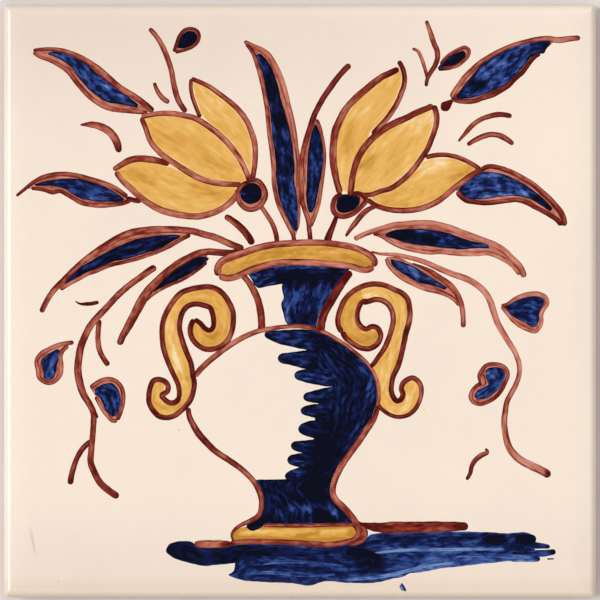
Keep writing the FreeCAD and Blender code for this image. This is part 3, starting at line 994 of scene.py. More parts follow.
class Face:
    """Height of the glazed face over the plan: level, then a roll, then an arris, mitred at the corners."""

    def __init__(self, sizes):
        slope = sizes.roll_angle
        self.roll_radius = sizes.roll_width / math.sin(slope)
        self.arris_radius = sizes.arris_radius
        self.arris_start = HALF - sizes.arris_radius
        self.roll_end = HALF - sizes.arris_radius * (1 - math.sin(slope))
        self.roll_start = self.roll_end - sizes.roll_width
        self.roll_middle = THICKNESS - self.roll_radius
        self.arris_middle = self.roll_middle + (self.roll_radius - self.arris_radius) * math.cos(slope)
        self.ripple_height = sizes.ripple

    def section(self, out):
        """Height at a distance from the middle: the top of the roll's circle, then of the arris's circle."""
        roll = np.sqrt(self.roll_radius**2 - np.clip(out - self.roll_start, 0, None) ** 2)
        over = np.clip(out - self.arris_start, 0, self.arris_radius)
        arris = np.sqrt(self.arris_radius**2 - over**2)
        return np.where(out < self.roll_end, self.roll_middle + roll, self.arris_middle + arris)

    def ripple(self, x, y):
        """Slow swells: two crossed sine waves and a slanted one, which fade out towards the edge."""
        crossed = np.sin(SWELL_ACROSS * x + 0.7) * np.sin(SWELL_UPWARD * y + 1.9)
        waves = crossed + SLANTED_SIZE * np.sin(SWELL_SLANTED * (x + SLANT * y) + 0.4)
        fade = np.clip((HALF - np.maximum(np.abs(x), np.abs(y))) / SWELL_FADE, 0, 1)
        return self.ripple_height * fade * (waves / (1 + SLANTED_SIZE) - 1)

    def height(self, x, y):
        """The lower of the two sections that cross at a place, with the ripple."""
        return np.minimum(self.section(np.abs(x)), self.section(np.abs(y))) + self.ripple(x, y)


def on_tile(points):
    """Places on the tile, in metres from its middle, of places in the photograph."""
    pixels = np.asarray(points, float)
    return (pixels + READING_OFFSET - PHOTO_MIDDLE) * (PIXEL, -PIXEL)


def chord_lengths(points):
    """Running straight distance along the points, from 0."""
    return np.concatenate(([0.0], np.cumsum(np.linalg.norm(np.diff(points, axis=0), axis=1))))


def curve(points, share):
    """Smooth curve through the points, at shares of its length: a cubic between each two points, whose slope
    at a point is that of the parabola through it and its neighbours."""
    chord = chord_lengths(points)
    slope = np.gradient(points, chord, axis=0, edge_order=min(2, len(points) - 1))
    at = share * chord[-1]
    piece = np.clip(np.searchsorted(chord, at, side="right") - 1, 0, len(chord) - 2)
    span = (chord[piece + 1] - chord[piece])[:, None]
    t = (at - chord[piece])[:, None] / span
    start, end = points[piece], points[piece + 1]
    leave, arrive = slope[piece] * span, slope[piece + 1] * span
    bend = 3 * (end - start) - 2 * leave - arrive
    twist = 2 * (start - end) + leave + arrive
    return start + t * leave + t**2 * bend + t**3 * twist


def shares(length):
    """Shares of a length about STEP apart, closer at both ends: an even row less some of a sine wave."""
    even = np.linspace(0, 1, max(int(length / STEP), LEAST_STEPS) + 1)
    return even - CROWDING * np.sin(2 * np.pi * even)


def wobble(along, seed):
    """A hand's unsteadiness, within -1 to 1: the mean of three sine waves with seeded phases."""
    phases = np.random.default_rng(seed).uniform(0, 2 * np.pi, len(WAVE_LENGTHS))
    waves = RAGGED_WAVE * np.array(WAVE_LENGTHS)
    return np.sin(2 * np.pi * along[:, None] / waves + phases).mean(axis=1)


def round_tip(share):
    """Height of a circle at a share of the way from its edge to its middle, at least LEAST_CAP."""
    return np.maximum(np.sqrt(1 - (1 - np.clip(share, 0, 1)) ** 2), LEAST_CAP)


class Film(NamedTuple):
    """Grid of one film: plan places, relief from 0 to 1, brush places, depth in from the rim, pigment."""

    plan: np.ndarray
    relief: np.ndarray
    brush: np.ndarray
    rim: np.ndarray
    load: np.ndarray


def film(middle, sideways, half, along, ends, load, seed):
    """Rows along a middle line, each with columns from side to side: the place is the middle plus the side
    direction times half the width times the sine of an even row of angles, with unsteady edges. The relief
    is a flat crown that falls at the sides and at both ends."""
    columns = max(int(2 * half.max() / STEP), LINE_COLUMNS)
    across = np.sin(np.linspace(-np.pi / 2, np.pi / 2, columns))
    unsteady = np.where(across < 0, wobble(along, seed)[:, None], wobble(along, seed + 1)[:, None])
    stray = RAGGED * np.minimum(half, LARGEST_UNSTEADY)
    aside = (half[:, None] + stray[:, None] * unsteady) * across
    plan = middle[:, None] + sideways[:, None] * aside[..., None]
    relief = np.sqrt(1 - np.abs(across) ** CROWN_POWER) * np.sqrt(ends[:, None])
    rim = half[:, None] * (1 - np.abs(across))
    rows = np.broadcast_to(along[:, None], aside.shape)
    brush = np.stack((rows, aside, np.full_like(aside, seed * BRUSH_GAP)), axis=-1) / MM
    return Film(plan, relief, brush, rim / MM, np.broadcast_to(load[:, None], rim.shape))


def line_film(line, seed):
    """A brush carried along a smooth path: half the width shrinks to a round tip at both ends, where the
    pigment pools."""
    points = on_tile(line.points)
    length = chord_lengths(points)[-1]
    share = shares(length)
    along = share * length
    middle = curve(points, share)
    width = PIXEL * np.interp(share, np.linspace(0, 1, len(line.widths)), line.widths)
    to_end = np.minimum(along, length - along)
    tip = round_tip(2 * to_end / width)
    heading = np.gradient(middle, along, axis=0)
    heading /= np.linalg.norm(heading, axis=1, keepdims=True)
    left = np.stack((-heading[:, 1], heading[:, 0]), axis=1)
    load = line.load + END_POOL * np.exp(-to_end / width)
    return film(middle, left, width * tip / 2, along, tip, load, seed)


def wash_film(wash, seed):
    """A patch ruled between two banks: each row joins the places at the same share of the two banks."""
    first, second = on_tile(wash.first), on_tile(wash.second)
    length = max(chord_lengths(first)[-1], chord_lengths(second)[-1])
    share = shares(length)
    right, left = curve(first, share), curve(second, share)
    run = np.gradient((right + left) / 2, axis=0)
    normal = np.stack((-run[:, 1], run[:, 0]), axis=1) / np.linalg.norm(run, axis=1, keepdims=True)
    if np.sum(normal * (left - right)) < 0:
        right, left = left, right
    span = left - right + HAIR * normal
    width = np.linalg.norm(span, axis=1)
    along = share * length
    to_end = np.minimum(along, length - along)
    load = np.full_like(along, wash.load)
    half = width / 2 + WASH_SPREAD
    ends = round_tip(to_end / PIXEL)
    patch = film((right + left) / 2, span / width[:, None], half, along, ends, load, seed)
    return patch._replace(rim=np.minimum(patch.rim, to_end[:, None] / MM))


def sleeve_faces(rows, columns, first):
    """Faces of a closed film: its crown, its underside and a cap at each end."""
    index = first + np.arange(rows * columns).reshape(rows, columns)
    beside = np.roll(index, -1, axis=1)
    sides = np.stack((index[:-1], index[1:], beside[1:], beside[:-1]), axis=-1).reshape(-1, 4)
    return sides.tolist() + [index[0].tolist(), index[-1, ::-1].tolist()]


def pigment(plan, load, dabs):
    """Pigment at each place: the stroke's own, plus each dab's by a bell curve of the gap to its stroke."""
    total = load.copy()
    for dab in dabs:
        start, end = on_tile((dab.start, dab.end))
        run = end - start
        share = np.clip((plan - start) @ run / (run @ run), 0, 1)
        gap = np.linalg.norm(plan - start - share[:, None] * run, axis=1)
        total += dab.load * np.exp(-((gap / (dab.reach * PIXEL)) ** 2))
    return total


def new_piece(name, points, faces, finishes):
    """A mesh object at the origin that rides on the tile, with the given finishes as its materials."""
    mesh = bpy.data.meshes.new(name)
    mesh.from_pydata(points, [], faces)
    if mesh.validate():
        raise ValueError(f"{name} has faces that can't be used")
    mesh.shade_smooth()
    mesh.set_sharp_from_angle(angle=SHARP_FOLD)
    for finish in finishes:
        mesh.materials.append(finish)
    piece = bpy.data.objects.new(name, mesh)
    bpy.context.scene.collection.objects.link(piece)
    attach(piece, "root")
    return piece


def put_attribute(mesh, name, kind, values):
    """Stores one value or vector for each vertex."""
    attribute = mesh.attributes.new(name, kind, "POINT")
    attribute.data.foreach_set("vector" if kind == "FLOAT_VECTOR" else "value", values.ravel())


def painted_piece(name, strokes, dabs, height, finish, first_seed):
    """One joined mesh of closed films. Each film's top is a little over the one before it."""
    face = Face(bpy.context.scene.tile_sizes)
    films = [
        (line_film if isinstance(stroke, Line) else wash_film)(stroke, first_seed + 2 * order)
        for order, stroke in enumerate(strokes.values())
    ]
    places, faces, first = [], [], 0
    for order, made in enumerate(films):
        x, y = made.plan[..., 0], made.plan[..., 1]
        top = height + order * FILM_ORDER
        z = face.height(x, y) - FILM_SINK + (top + FILM_SINK) * made.relief
        places.append(np.stack((x, y, z), axis=-1).reshape(-1, 3))
        faces += sleeve_faces(*x.shape, first)
        first += x.size
    places = np.concatenate(places)
    load = np.concatenate([made.load.ravel() for made in films])
    piece = new_piece(name, places, faces, [finish])
    put_attribute(piece.data, "pigment", "FLOAT", pigment(places[:, :2], load, dabs))
    put_attribute(piece.data, "rim", "FLOAT", np.concatenate([made.rim.ravel() for made in films]))
    put_attribute(
        piece.data, "brush", "FLOAT_VECTOR", np.concatenate([made.brush.reshape(-1, 3) for made in films])
    )


def paint_groups(groups, dabs, height, first_seed, rise=0.0):
    """One piece for each group of strokes with its finish, each group higher than the last by the rise."""
    for order, (name, strokes, finish) in enumerate(groups):
        seed = first_seed + order * SEED_STEP
        painted_piece(name, strokes, dabs, height + order * rise, finish, seed)


def key_middles(sizes):
    """Middles of the key's pockets along one side, as many as fit inside the border."""
    pitch = sizes.key_cell + sizes.key_rib
    count = int((SIDE - 2 * sizes.key_border + sizes.key_rib) / pitch)
    return (np.arange(count) - (count - 1) / 2) * pitch


def plan_lines(sizes, face):
    """Grid lines of the plan along one side: the walls and floors of the key's pockets, then the roll and
    the arris, the last at even angles round its circle."""
    mouth = sizes.key_cell / 2
    floor = mouth - sizes.key_depth * math.tan(sizes.key_wall)
    wall = np.linspace(floor, mouth, WALL_LINES)
    across = np.concatenate((-wall[::-1], (-floor / 2, 0, floor / 2), wall))
    key = (key_middles(sizes)[:, None] + across).ravel()
    roll = np.linspace(max(face.roll_start, key[-1]), face.roll_end, ROLL_LINES)[1:]
    angles = np.linspace(sizes.roll_angle, math.pi / 2, ARRIS_LINES)[1:]
    arris = face.arris_start + sizes.arris_radius * np.sin(angles)
    edge = np.concatenate((roll, arris))
    return np.concatenate((-edge[::-1], key, edge))


def key_share(lines, sizes):
    """How deep the key goes at each grid line: 0 on a rib, 1 on a floor, with an eased wall between."""
    wall = sizes.key_depth * math.tan(sizes.key_wall)
    gap = np.abs(lines[:, None] - key_middles(sizes)).min(axis=1)
    share = np.clip((sizes.key_cell / 2 - gap) / wall, 0, 1)
    return share * share * (3 - 2 * share)


def round_corners(x, y, radius):
    """Plan with its square corners turned round: in a corner square, a place keeps its larger distance from
    the inner corner and moves to that distance along its own direction."""
    inner = HALF - radius
    past_x = np.clip(np.abs(x) - inner, 0, None)
    past_y = np.clip(np.abs(y) - inner, 0, None)
    straight = np.hypot(past_x, past_y)
    pull = np.maximum(past_x, past_y) / np.where(straight > 0, straight, 1)
    round_x = np.minimum(np.abs(x), inner) + past_x * pull
    round_y = np.minimum(np.abs(y), inner) + past_y * pull
    return np.sign(x) * round_x, np.sign(y) * round_y


def hem_line(around, sizes):
    """Height of the glaze's hem round the sides: sine waves that close on themselves, and a few runs."""
    turn = 2 * np.pi * around
    waves = sum(size * np.sin(count * turn + start) for size, count, start in HEM_WAVES)
    runs = sum(np.exp(-(((around - place) / RUN_WIDTH) ** 2)) for place in HEM_RUNS)
    return sizes.hem_height + sizes.hem_wander * (waves - RUN_DEPTH * runs)


def back_plan(lines, sizes, top_x, top_y):
    """Plan of the back: all beyond the key is squeezed in to the foot of the bevel. In a corner, the face's
    rounded plan moves by as much."""
    key_rim = np.abs(key_middles(sizes)).max() + sizes.key_cell / 2
    squeeze = (HALF - sizes.back_bevel - key_rim) / (HALF - key_rim)
    past = np.clip(np.abs(lines) - key_rim, 0, None)
    squeezed = np.sign(lines) * (np.minimum(np.abs(lines), key_rim) + past * squeeze)
    moved = squeezed - lines
    corner = np.logical_and.outer(past > 0, past > 0)
    back_x = np.where(corner, top_x + moved[:, None], squeezed[:, None])
    back_y = np.where(corner, top_y + moved, squeezed)
    return back_x, back_y


def side_rows(rim, sizes):
    """Rows of places round the sides, downwards: the rim, drawn in by the glaze's step below its hem."""
    outward = rim - np.clip(rim, sizes.corner_radius - HALF, HALF - sizes.corner_radius)
    outward /= np.linalg.norm(outward, axis=1, keepdims=True)
    hem = hem_line(chord_lengths(rim) / (4 * SIDE), sizes)
    step = sizes.glaze_step
    rows = [(share * step, hem + rise) for share, rise in HEM_ROUNDING]
    rows.append((step, (hem + sizes.back_bevel) / 2))
    rows.append((step, np.full_like(hem, sizes.back_bevel + step)))
    return [np.column_stack((rim - outward * inset, level)) for inset, level in rows]


def fired_body(sizes):
    """Points, faces and the number of glazed faces of the closed body: the face and the back are heights on
    one grid, and rows round the sides join their rims."""
    face = Face(sizes)
    lines = plan_lines(sizes, face)
    count = len(lines)
    flat_x, flat_y = np.meshgrid(lines, lines, indexing="ij")
    top_x, top_y = round_corners(flat_x, flat_y, sizes.corner_radius)
    top = np.stack((top_x, top_y, face.height(flat_x, flat_y)), axis=-1).reshape(-1, 3)
    back_x, back_y = back_plan(lines, sizes, top_x, top_y)
    depth = key_share(lines, sizes)
    back_z = sizes.key_depth * np.minimum.outer(depth, depth)
    back = np.stack((back_x, back_y, back_z), axis=-1).reshape(-1, 3)

    index = np.arange(count * count).reshape(count, count)
    loop = np.concatenate((index[:-1, 0], index[-1, :-1], index[:0:-1, -1], index[0, :0:-1]))
    sides = side_rows(top[loop, :2], sizes)
    points = np.concatenate([top, back] + sides)

    below = 2 * count * count + np.arange(len(sides) * len(loop)).reshape(len(sides), len(loop))
    rings = [loop, *below, loop + count * count]
    grid = np.stack((index[:-1, :-1], index[1:, :-1], index[1:, 1:], index[:-1, 1:]), axis=-1).reshape(-1, 4)
    bands = [
        np.stack((low, np.roll(low, -1), np.roll(high, -1), high), axis=-1)
        for high, low in zip(rings, rings[1:])
    ]
    glazed = [grid] + bands[: len(HEM_ROUNDING)]
    bare = bands[len(HEM_ROUNDING) :] + [grid[:, ::-1] + count * count]
    return points, np.concatenate(glazed + bare), sum(map(len, glazed))


class Signal:
    """A shader socket used like a number: each operator adds one Math node to the same tree."""

    def __init__(self, finish, socket):
        self.finish = finish
        self.socket = socket

    def math(self, operation, first, second):
        """Adds one Math node of two values."""
        return self.finish.node(
            "ShaderNodeMath", {"operation": operation}, {"Value": first, "Value_001": second}, "Value"
        )

    def __add__(self, other):
        return self.math("ADD", self, other)

    __radd__ = __add__

    def __sub__(self, other):
        return self.math("SUBTRACT", self, other)

    def __rsub__(self, other):
        return self.math("SUBTRACT", other, self)

    def __mul__(self, other):
        return self.math("MULTIPLY", self, other)

    __rmul__ = __mul__

    def __gt__(self, other):
        return self.math("GREATER_THAN", self, other)


class Finish:
    """One material, or the world, whose nodes are added by expressions."""

    def __init__(self, name, kind=bpy.types.Material):
        collection = bpy.data.worlds if kind is bpy.types.World else bpy.data.materials
        self.owner = collection.new(name)
        self.owner.use_nodes = True
        self.tree = self.owner.node_tree
        self.tree.nodes.clear()

    def node(self, kind, settings, inputs, output=None):
        """Adds a node: its settings first, then the values or links of its sockets. Returns one output."""
        node = self.tree.nodes.new(kind)
        for name, value in settings.items():
            if name == "stops":
                self.set_stops(node.color_ramp, value)
            else:
                setattr(node, name, value)
        sockets = {socket.identifier: socket for socket in node.inputs}
        for name, value in inputs.items():
            if isinstance(value, Signal):
                self.tree.links.new(value.socket, sockets[name])
            else:
                sockets[name].default_value = value
        outputs = {socket.identifier: socket for socket in node.outputs}
        return Signal(self, outputs.get(output))

    def set_stops(self, ramp, stops):
        """Gives a colour ramp its stops, each a place from 0 to 1 and a colour."""
        while len(ramp.elements) < len(stops):
            ramp.elements.new(1.0)
        for element, (place, colour) in zip(ramp.elements, stops):
            element.position = place
            element.color = (*colour, 1.0)

    def place(self):
        """Place in the tile's own frame."""
        return self.node("ShaderNodeTexCoord", {}, {}, "Object")

    def attribute(self, name, output="Fac"):
        """A value that the mesh keeps for each vertex."""
        return self.node("ShaderNodeAttribute", {"attribute_name": name}, {}, output)

    def scaled(self, vector, factors):
        """A vector times a factor for each axis."""
        return self.node(
            "ShaderNodeVectorMath", {"operation": "MULTIPLY"},
            {"Vector": vector, "Vector_001": factors}, "Vector",
        )

    def noise(self, vector, scale=1.0, detail=2.0, roughness=0.5):
        """Soft random values, mostly between 0.3 and 0.7."""
        return self.node(
            "ShaderNodeTexNoise", {},
            {"Vector": vector, "Scale": scale, "Detail": detail, "Roughness": roughness}, "Fac",
        )

    def eased(self, value, low, high):
        """0 below low, 1 above high, with a smooth step between."""
        return self.node(
            "ShaderNodeMapRange", {"interpolation_type": "SMOOTHSTEP"},
            {"Value": value, "From Min": low, "From Max": high}, "Result",
        )

    def mix(self, share, first, second):
        """A colour between two colours."""
        return self.node(
            "ShaderNodeMix", {"data_type": "RGBA"},
            {"Factor_Float": share, "A_Color": first, "B_Color": second}, "Result_Color",
        )

    def ramp(self, value, colours):
        """A colour along evenly spaced stops."""
        stops = [(order / (len(colours) - 1), colour) for order, colour in enumerate(colours)]
        return self.node("ShaderNodeValToRGB", {"stops": stops}, {"Fac": value}, "Color")

    def bump(self, height, strength, distance):
        """A normal that follows a fine relief."""
        return self.node(
            "ShaderNodeBump", {}, {"Height": height, "Strength": strength, "Distance": distance}, "Normal"
        )

    def surface(self, inputs):
        """Ends the tree in a Principled surface and returns the material."""
        shader = self.node("ShaderNodeBsdfPrincipled", {}, inputs, "BSDF")
        self.node("ShaderNodeOutputMaterial", {}, {"Surface": shader})
        return self.owner


def opaque(colour):
    """A colour property as a socket takes it."""
    return (*colour, 1.0)


def paint_finish(name, colours, streak, blotch, edge, pool_width):
    """Fired pigment: its load, brush streaks, blotches and a pooled rim pick a tone from thin to pooled."""
    finish = Finish(name)
    brush = finish.attribute("brush", "Vector")
    fine = finish.noise(finish.scaled(brush, FINE_STREAKS), detail=3.0, roughness=0.6)
    broad = finish.noise(finish.scaled(brush, BROAD_STREAKS))
    cloud = finish.eased(finish.noise(finish.scaled(brush, BLOTCHES)), 0.38, 0.62)
    pooled = 1 - finish.eased(finish.attribute("rim"), 0.0, pool_width)
    tone = (
        finish.attribute("pigment")
        + streak * (0.5 * fine + broad - 0.75)
        + blotch * (cloud - 0.5)
        + edge * pooled
    )
    return finish.surface(
        {
            "Base Color": finish.ramp(tone, colours),
            "Roughness": 0.16 + 0.12 * fine,
            "Normal": finish.bump(fine, strength=0.12, distance=0.04 * MM),
        }
    )


def thin_glaze_and_shade_share(finish, sideways, upward, swell, mottle):
    """Share of the glaze's thinner tone: its own swells and mottle, plus painted shade at the top left,
    bottom and left.
    """
    # Painted shade: top, bottom and left darken the glaze where less light falls; only uneven is the glaze's
    # own tone.
    top = finish.eased(upward, 0.22 * SIDE, HALF) * (1 - 0.75 * finish.eased(sideways, -HALF, HALF))
    bottom = 1 - finish.eased(upward, -HALF, -0.3 * SIDE)
    left = 1 - finish.eased(sideways, 0.1 * SIDE, HALF)
    uneven = 0.2 * finish.eased(swell, 0.4, 0.72) + 0.25 * (mottle - 0.5)
    return uneven + 0.9 * top + 0.6 * bottom + 0.15 * left


def smear_share(finish, sideways, upward):
    """How strong the smear is: a leaning streak that fades by the squared distances from its middle."""
    smear_x, smear_y = on_tile((SMEAR_MIDDLE,))[0]
    run = upward - smear_y
    aside = sideways - smear_x + SMEAR_LEAN * run
    narrow = 1 - finish.eased(aside * aside, 0.0, SMEAR_WIDTH**2)
    return narrow * (1 - finish.eased(run * run, 0.0, SMEAR_REACH**2))


def pinhole_share(finish, place):
    """Where pinholes are: round the middles of a few Voronoi cells, picked by their random colour."""
    cells = {"Vector": place, "Scale": PINHOLE_SCALE}
    distance = finish.node("ShaderNodeTexVoronoi", {}, cells, "Distance")
    colour = finish.node("ShaderNodeTexVoronoi", {}, cells, "Color")
    chosen = finish.node("ShaderNodeSeparateColor", {}, {"Color": colour}, "Red") > PINHOLE_RARITY
    return chosen * (1 - finish.eased(distance, 0.02, 0.07))


def glaze_finish(colours):
    """Cream tin glaze: uneven in tone, with painted shade towards the top left, the left and the bottom, buff
    over the arris and, partly as painted shade, along the bottom edge, with one faint smear, a few pinholes
    and a fine orange peel."""
    finish = Finish("cream_glaze")
    place = finish.place()
    sideways, upward, height = (
        finish.node("ShaderNodeSeparateXYZ", {}, {"Vector": place}, axis) for axis in "XYZ"
    )
    swell = finish.noise(place, scale=22.0, detail=3.0)
    mottle = finish.noise(place, scale=260.0, detail=3.0)
    peel = finish.noise(place, scale=1400.0)
    pinhole = pinhole_share(finish, place)
    # thin holds the glaze's own unevenness plus painted shade towards the top left, the left and the bottom.
    thin = thin_glaze_and_shade_share(finish, sideways, upward, swell, mottle)
    cream = finish.mix(thin, opaque(colours.glaze), opaque(colours.glaze_thin_and_shade))
    # Buff over the arris, where the glaze is thin, and along the bottom edge, where it is partly thin glaze
    # and partly painted shade.
    low = 1 - finish.eased(upward, 1.5 * MM - HALF, 6 * MM - HALF)
    buff = 0.24 * (1 - finish.eased(height, 0.7 * THICKNESS, 0.96 * THICKNESS)) + 0.25 * low
    tone = finish.mix(buff, cream, opaque(colours.glaze_buff_and_bottom_shade))
    soiled = finish.mix(0.3 * smear_share(finish, sideways, upward), tone, opaque(colours.smear))
    return finish.surface(
        {
            "Base Color": finish.mix(0.5 * pinhole, soiled, opaque(colours.clay_dark)),
            "Roughness": 0.1 + 0.1 * swell,
            "Normal": finish.bump(peel + 6 * (1 - pinhole), strength=0.1, distance=0.03 * MM),
        }
    )


def clay_finish(colours):
    """Bare fired clay: grains of two buffs, chalky patches and a gritty surface."""
    finish = Finish("fired_clay")
    place = finish.place()
    grain = finish.noise(place, scale=1800.0, detail=4.0, roughness=0.7)
    patch = finish.noise(place, scale=70.0, detail=4.0)
    grit = finish.noise(place, scale=700.0, detail=3.0)
    tone = finish.mix(finish.eased(grain, 0.35, 0.7), opaque(colours.clay_dark), opaque(colours.clay))
    chalk = 0.35 * finish.eased(patch, 0.5, 0.75)
    return finish.surface(
        {
            "Base Color": finish.mix(chalk, tone, opaque(colours.glaze_thin_and_shade)),
            "Roughness": 0.8 + 0.15 * grit,
            "Normal": finish.bump(grain + grit, strength=0.5, distance=0.12 * MM),
        }
    )


def floor_finish(colour):
    """Plain pale matt floor with a faint even tooth."""
    finish = Finish("pale_floor")
    tooth = finish.noise(finish.place(), scale=60.0)
    shade = finish.mix(0.06 * tooth, opaque(colour), FLOOR_TOOTH)
    return finish.surface({"Base Color": shade, "Roughness": 1.0, "Specular IOR Level": 0.0})


def studio_sky(settings):
    """Dim light all round, in front of which the camera sees a pale wall, and the glaze its low part."""
    sky = Finish("studio_sky", bpy.types.World)
    direction = sky.node("ShaderNodeTexCoord", {}, {}, "Generated")
    height = sky.node("ShaderNodeSeparateXYZ", {}, {"Vector": direction}, "Z")
    low = 1 - sky.eased(height, WALL_FADE_START, WALL_FADE_END)
    camera, mirrored = (
        sky.node("ShaderNodeLightPath", {}, {}, ray) for ray in ("Is Camera Ray", "Is Glossy Ray")
    )
    seen = camera + low * mirrored
    dim = sky.node("ShaderNodeBackground", {}, {"Strength": settings.sky}, "Background")
    wall = sky.node("ShaderNodeBackground", {}, {"Color": opaque(settings.wall)}, "Background")
    both = sky.node("ShaderNodeMixShader", {}, {"Fac": seen, "Shader": dim, "Shader_001": wall}, "Shader")
    sky.node("ShaderNodeOutputWorld", {}, {"Surface": both})
    return sky.owner


def paint_tones(colours, paint):
    """The four tones of a paint, from thin to pooled."""
    return [getattr(colours, f"{paint}_{step}") for step in (1, 2, 3, 4)]


class AZULEJO_OT_fired_tile(bpy.types.Operator):
    """Make the glazed tile with its rolled edge, its glaze hem and its keyed back"""

    bl_idname = "azulejo.fired_tile"
    bl_label = "Fired tile"

    def execute(self, context):
        sizes, colours = context.scene.tile_sizes, context.scene.tile_colours
        points, faces, glazed = fired_body(sizes)
        body = new_piece(
            "fired_tile", points, faces.tolist(), [glaze_finish(colours), clay_finish(colours)]
        )
        body.data.polygons.foreach_set("material_index", (np.arange(len(faces)) >= glazed).astype(np.int32))
        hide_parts("tile")
        return {"FINISHED"}


class AZULEJO_OT_yellow_washes(bpy.types.Operator):
    """Paint the yellow washes of the flowers, the vase's lip, foot and handles"""

    bl_idname = "azulejo.yellow_washes"
    bl_label = "Yellow washes"

    def execute(self, context):
        sizes = context.scene.tile_sizes
        tones = paint_tones(context.scene.tile_colours, "yellow")
        petal = paint_finish("petal_wash", tones, streak=0.65, blotch=0.12, edge=-0.9, pool_width=1.3)
        vase = paint_finish("vase_wash", tones, streak=1.1, blotch=0.15, edge=0.05, pool_width=0.5)
        groups = (("flower_yellow", YELLOW_FLOWERS, petal), ("vase_yellow", YELLOW_VASE, vase))
        paint_groups(groups, YELLOW_DABS, sizes.yellow_film, first_seed=100)
        return {"FINISHED"}


class AZULEJO_OT_blue_washes(bpy.types.Operator):
    """Paint the cobalt washes of the leaves, the seeds, the vase and its shadow"""

    bl_idname = "azulejo.blue_washes"
    bl_label = "Blue washes"

    def execute(self, context):
        sizes = context.scene.tile_sizes
        tones = paint_tones(context.scene.tile_colours, "blue")
        leaf = paint_finish("leaf_cobalt", tones, streak=1.1, blotch=0.4, edge=0.6, pool_width=0.5)
        vase = paint_finish("vase_cobalt", tones, streak=1.0, blotch=0.4, edge=0.4, pool_width=0.6)
        shadow = paint_finish("shadow_cobalt", tones, streak=0.9, blotch=0.25, edge=-0.15, pool_width=0.6)
        groups = (
            ("leaf_blue", BLUE_LEAVES, leaf),
            ("seed_blue", BLUE_SEEDS, leaf),
            ("vase_blue", BLUE_VASE, vase),
            ("shadow_blue", BLUE_SHADOW, shadow),
        )
        paint_groups(groups, BLUE_DABS, sizes.blue_film, first_seed=400)
        return {"FINISHED"}


class AZULEJO_OT_brown_lines(bpy.types.Operator):
    """Draw the brown lines of the leaves, the twigs, the flowers and the vase"""

    bl_idname = "azulejo.brown_lines"
    bl_label = "Brown lines"

    def execute(self, context):
        sizes = context.scene.tile_sizes
        tones = paint_tones(context.scene.tile_colours, "brown")
        brown = paint_finish("brown_line", tones, streak=1.3, blotch=0.2, edge=0.3, pool_width=0.5)
        beds = (("leaf_beds", BROWN_BEDS, brown),)
        lines = (
            ("leaf_lines", BROWN_LEAVES, brown),
            ("twig_lines", BROWN_TWIGS, brown),
            ("flower_lines", BROWN_FLOWERS, brown),
            ("vase_lines", BROWN_VASE, brown),
            ("handle_lines", BROWN_HANDLES, brown),
        )
        paint_groups(beds, (), sizes.bed_film, first_seed=800)
        paint_groups(lines, BROWN_DABS, sizes.brown_film, first_seed=900, rise=GROUP_RISE)
        return {"FINISHED"}


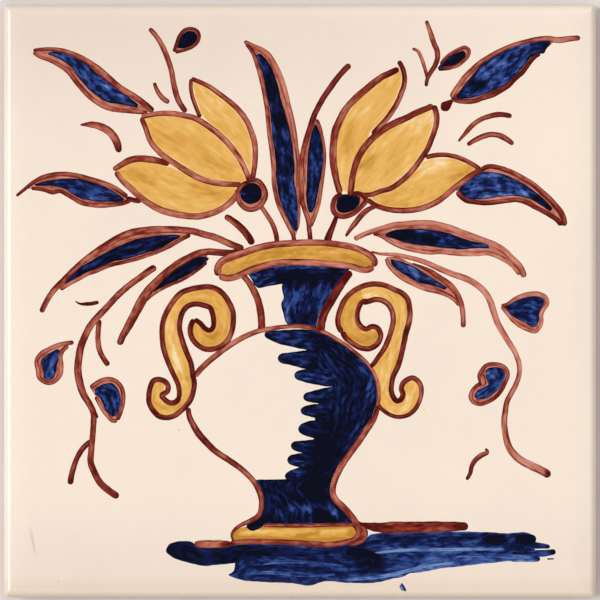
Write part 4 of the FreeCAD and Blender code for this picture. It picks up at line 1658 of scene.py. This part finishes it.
class AZULEJO_OT_stage(bpy.types.Operator):
    """Set up the floor, the light and the camera that looks straight down"""

    bl_idname = "azulejo.stage"
    bl_label = "Stage"

    def execute(self, context):
        scene = context.scene
        settings = scene.tile_stage
        self.lay_floor(scene, settings)
        self.light(scene, settings)
        self.set_camera(scene, settings)
        scene.view_settings.view_transform = "Standard"
        return {"FINISHED"}

    def lay_floor(self, scene, settings):
        """A plain square floor under the tile."""
        reach = FLOOR_REACH
        mesh = bpy.data.meshes.new("floor")
        corners = [(-reach, -reach, 0), (reach, -reach, 0), (reach, reach, 0), (-reach, reach, 0)]
        mesh.from_pydata(corners, [], [(0, 1, 2, 3)])
        mesh.materials.append(floor_finish(settings.floor))
        floor = bpy.data.objects.new("floor", mesh)
        scene.collection.objects.link(floor)

    def light(self, scene, settings):
        """The sky and wall, one lamp from the left and three soft fills."""
        scene.world = studio_sky(settings)
        self.hang_lamp(scene, "key", settings.key, settings.key_softness, KEY_TURN)
        for name, turn in FILL_TURNS.items():
            self.hang_lamp(scene, name, settings.fill, FILL_SOFTNESS, turn)

    def hang_lamp(self, scene, name, strength, softness, turn):
        """A sun lamp that shines down from one side."""
        lamp = bpy.data.lights.new(name, "SUN")
        lamp.energy = strength
        lamp.angle = softness
        hung = bpy.data.objects.new(name, lamp)
        hung.rotation_euler = (0, LAMP_TILT, turn)
        scene.collection.objects.link(hung)

    def set_camera(self, scene, settings):
        """A long lens straight above, so high that the view is as wide as the photograph."""
        data = bpy.data.cameras.new("camera")
        data.lens = settings.lens
        camera = bpy.data.objects.new("camera", data)
        view_width = PHOTO_WIDTH * PIXEL
        distance = view_width * settings.lens / data.sensor_width
        drop = (PHOTO_WIDTH / 2 - PHOTO_MIDDLE[1]) * PIXEL
        camera.location = (0, -drop, THICKNESS + distance)
        scene.collection.objects.link(camera)
        scene.camera = camera


class AZULEJO_PT_tile(bpy.types.Panel):
    """Sizes, colours and making of the tile"""

    bl_idname = "AZULEJO_PT_tile"
    bl_label = "Azulejo tile"
    bl_space_type = "VIEW_3D"
    bl_region_type = "UI"
    bl_category = "Tile"

    def draw(self, context):
        """Lists what can be made, then what can be set."""
        for operator in OPERATORS:
            self.layout.operator(operator.bl_idname)
        for group in (context.scene.tile_sizes, context.scene.tile_colours, context.scene.tile_stage):
            box = self.layout.box()
            for name in group.__annotations__:
                box.prop(group, name)


GROUPS = {"tile_sizes": TileSizes, "tile_colours": TileColours, "tile_stage": StageSettings}
OPERATORS = (
    AZULEJO_OT_fired_tile,
    AZULEJO_OT_yellow_washes,
    AZULEJO_OT_blue_washes,
    AZULEJO_OT_brown_lines,
    AZULEJO_OT_stage,
)


def register():
    """Registers the classes and gives the scene its settings."""
    for kind in (*GROUPS.values(), *OPERATORS, AZULEJO_PT_tile):
        bpy.utils.register_class(kind)
    for name, group in GROUPS.items():
        setattr(bpy.types.Scene, name, bpy.props.PointerProperty(type=group))


def unregister():
    """Takes the settings and the classes away again."""
    for name in GROUPS:
        delattr(bpy.types.Scene, name)
    for kind in (AZULEJO_PT_tile, *reversed(OPERATORS), *GROUPS.values()):
        bpy.utils.unregister_class(kind)


def main():
    """Makes the tile and its stage."""
    register()
    bpy.ops.azulejo.fired_tile()
    bpy.ops.azulejo.yellow_washes()
    bpy.ops.azulejo.blue_washes()
    bpy.ops.azulejo.brown_lines()
    bpy.ops.azulejo.stage()


if __name__ == "__main__":
    main()
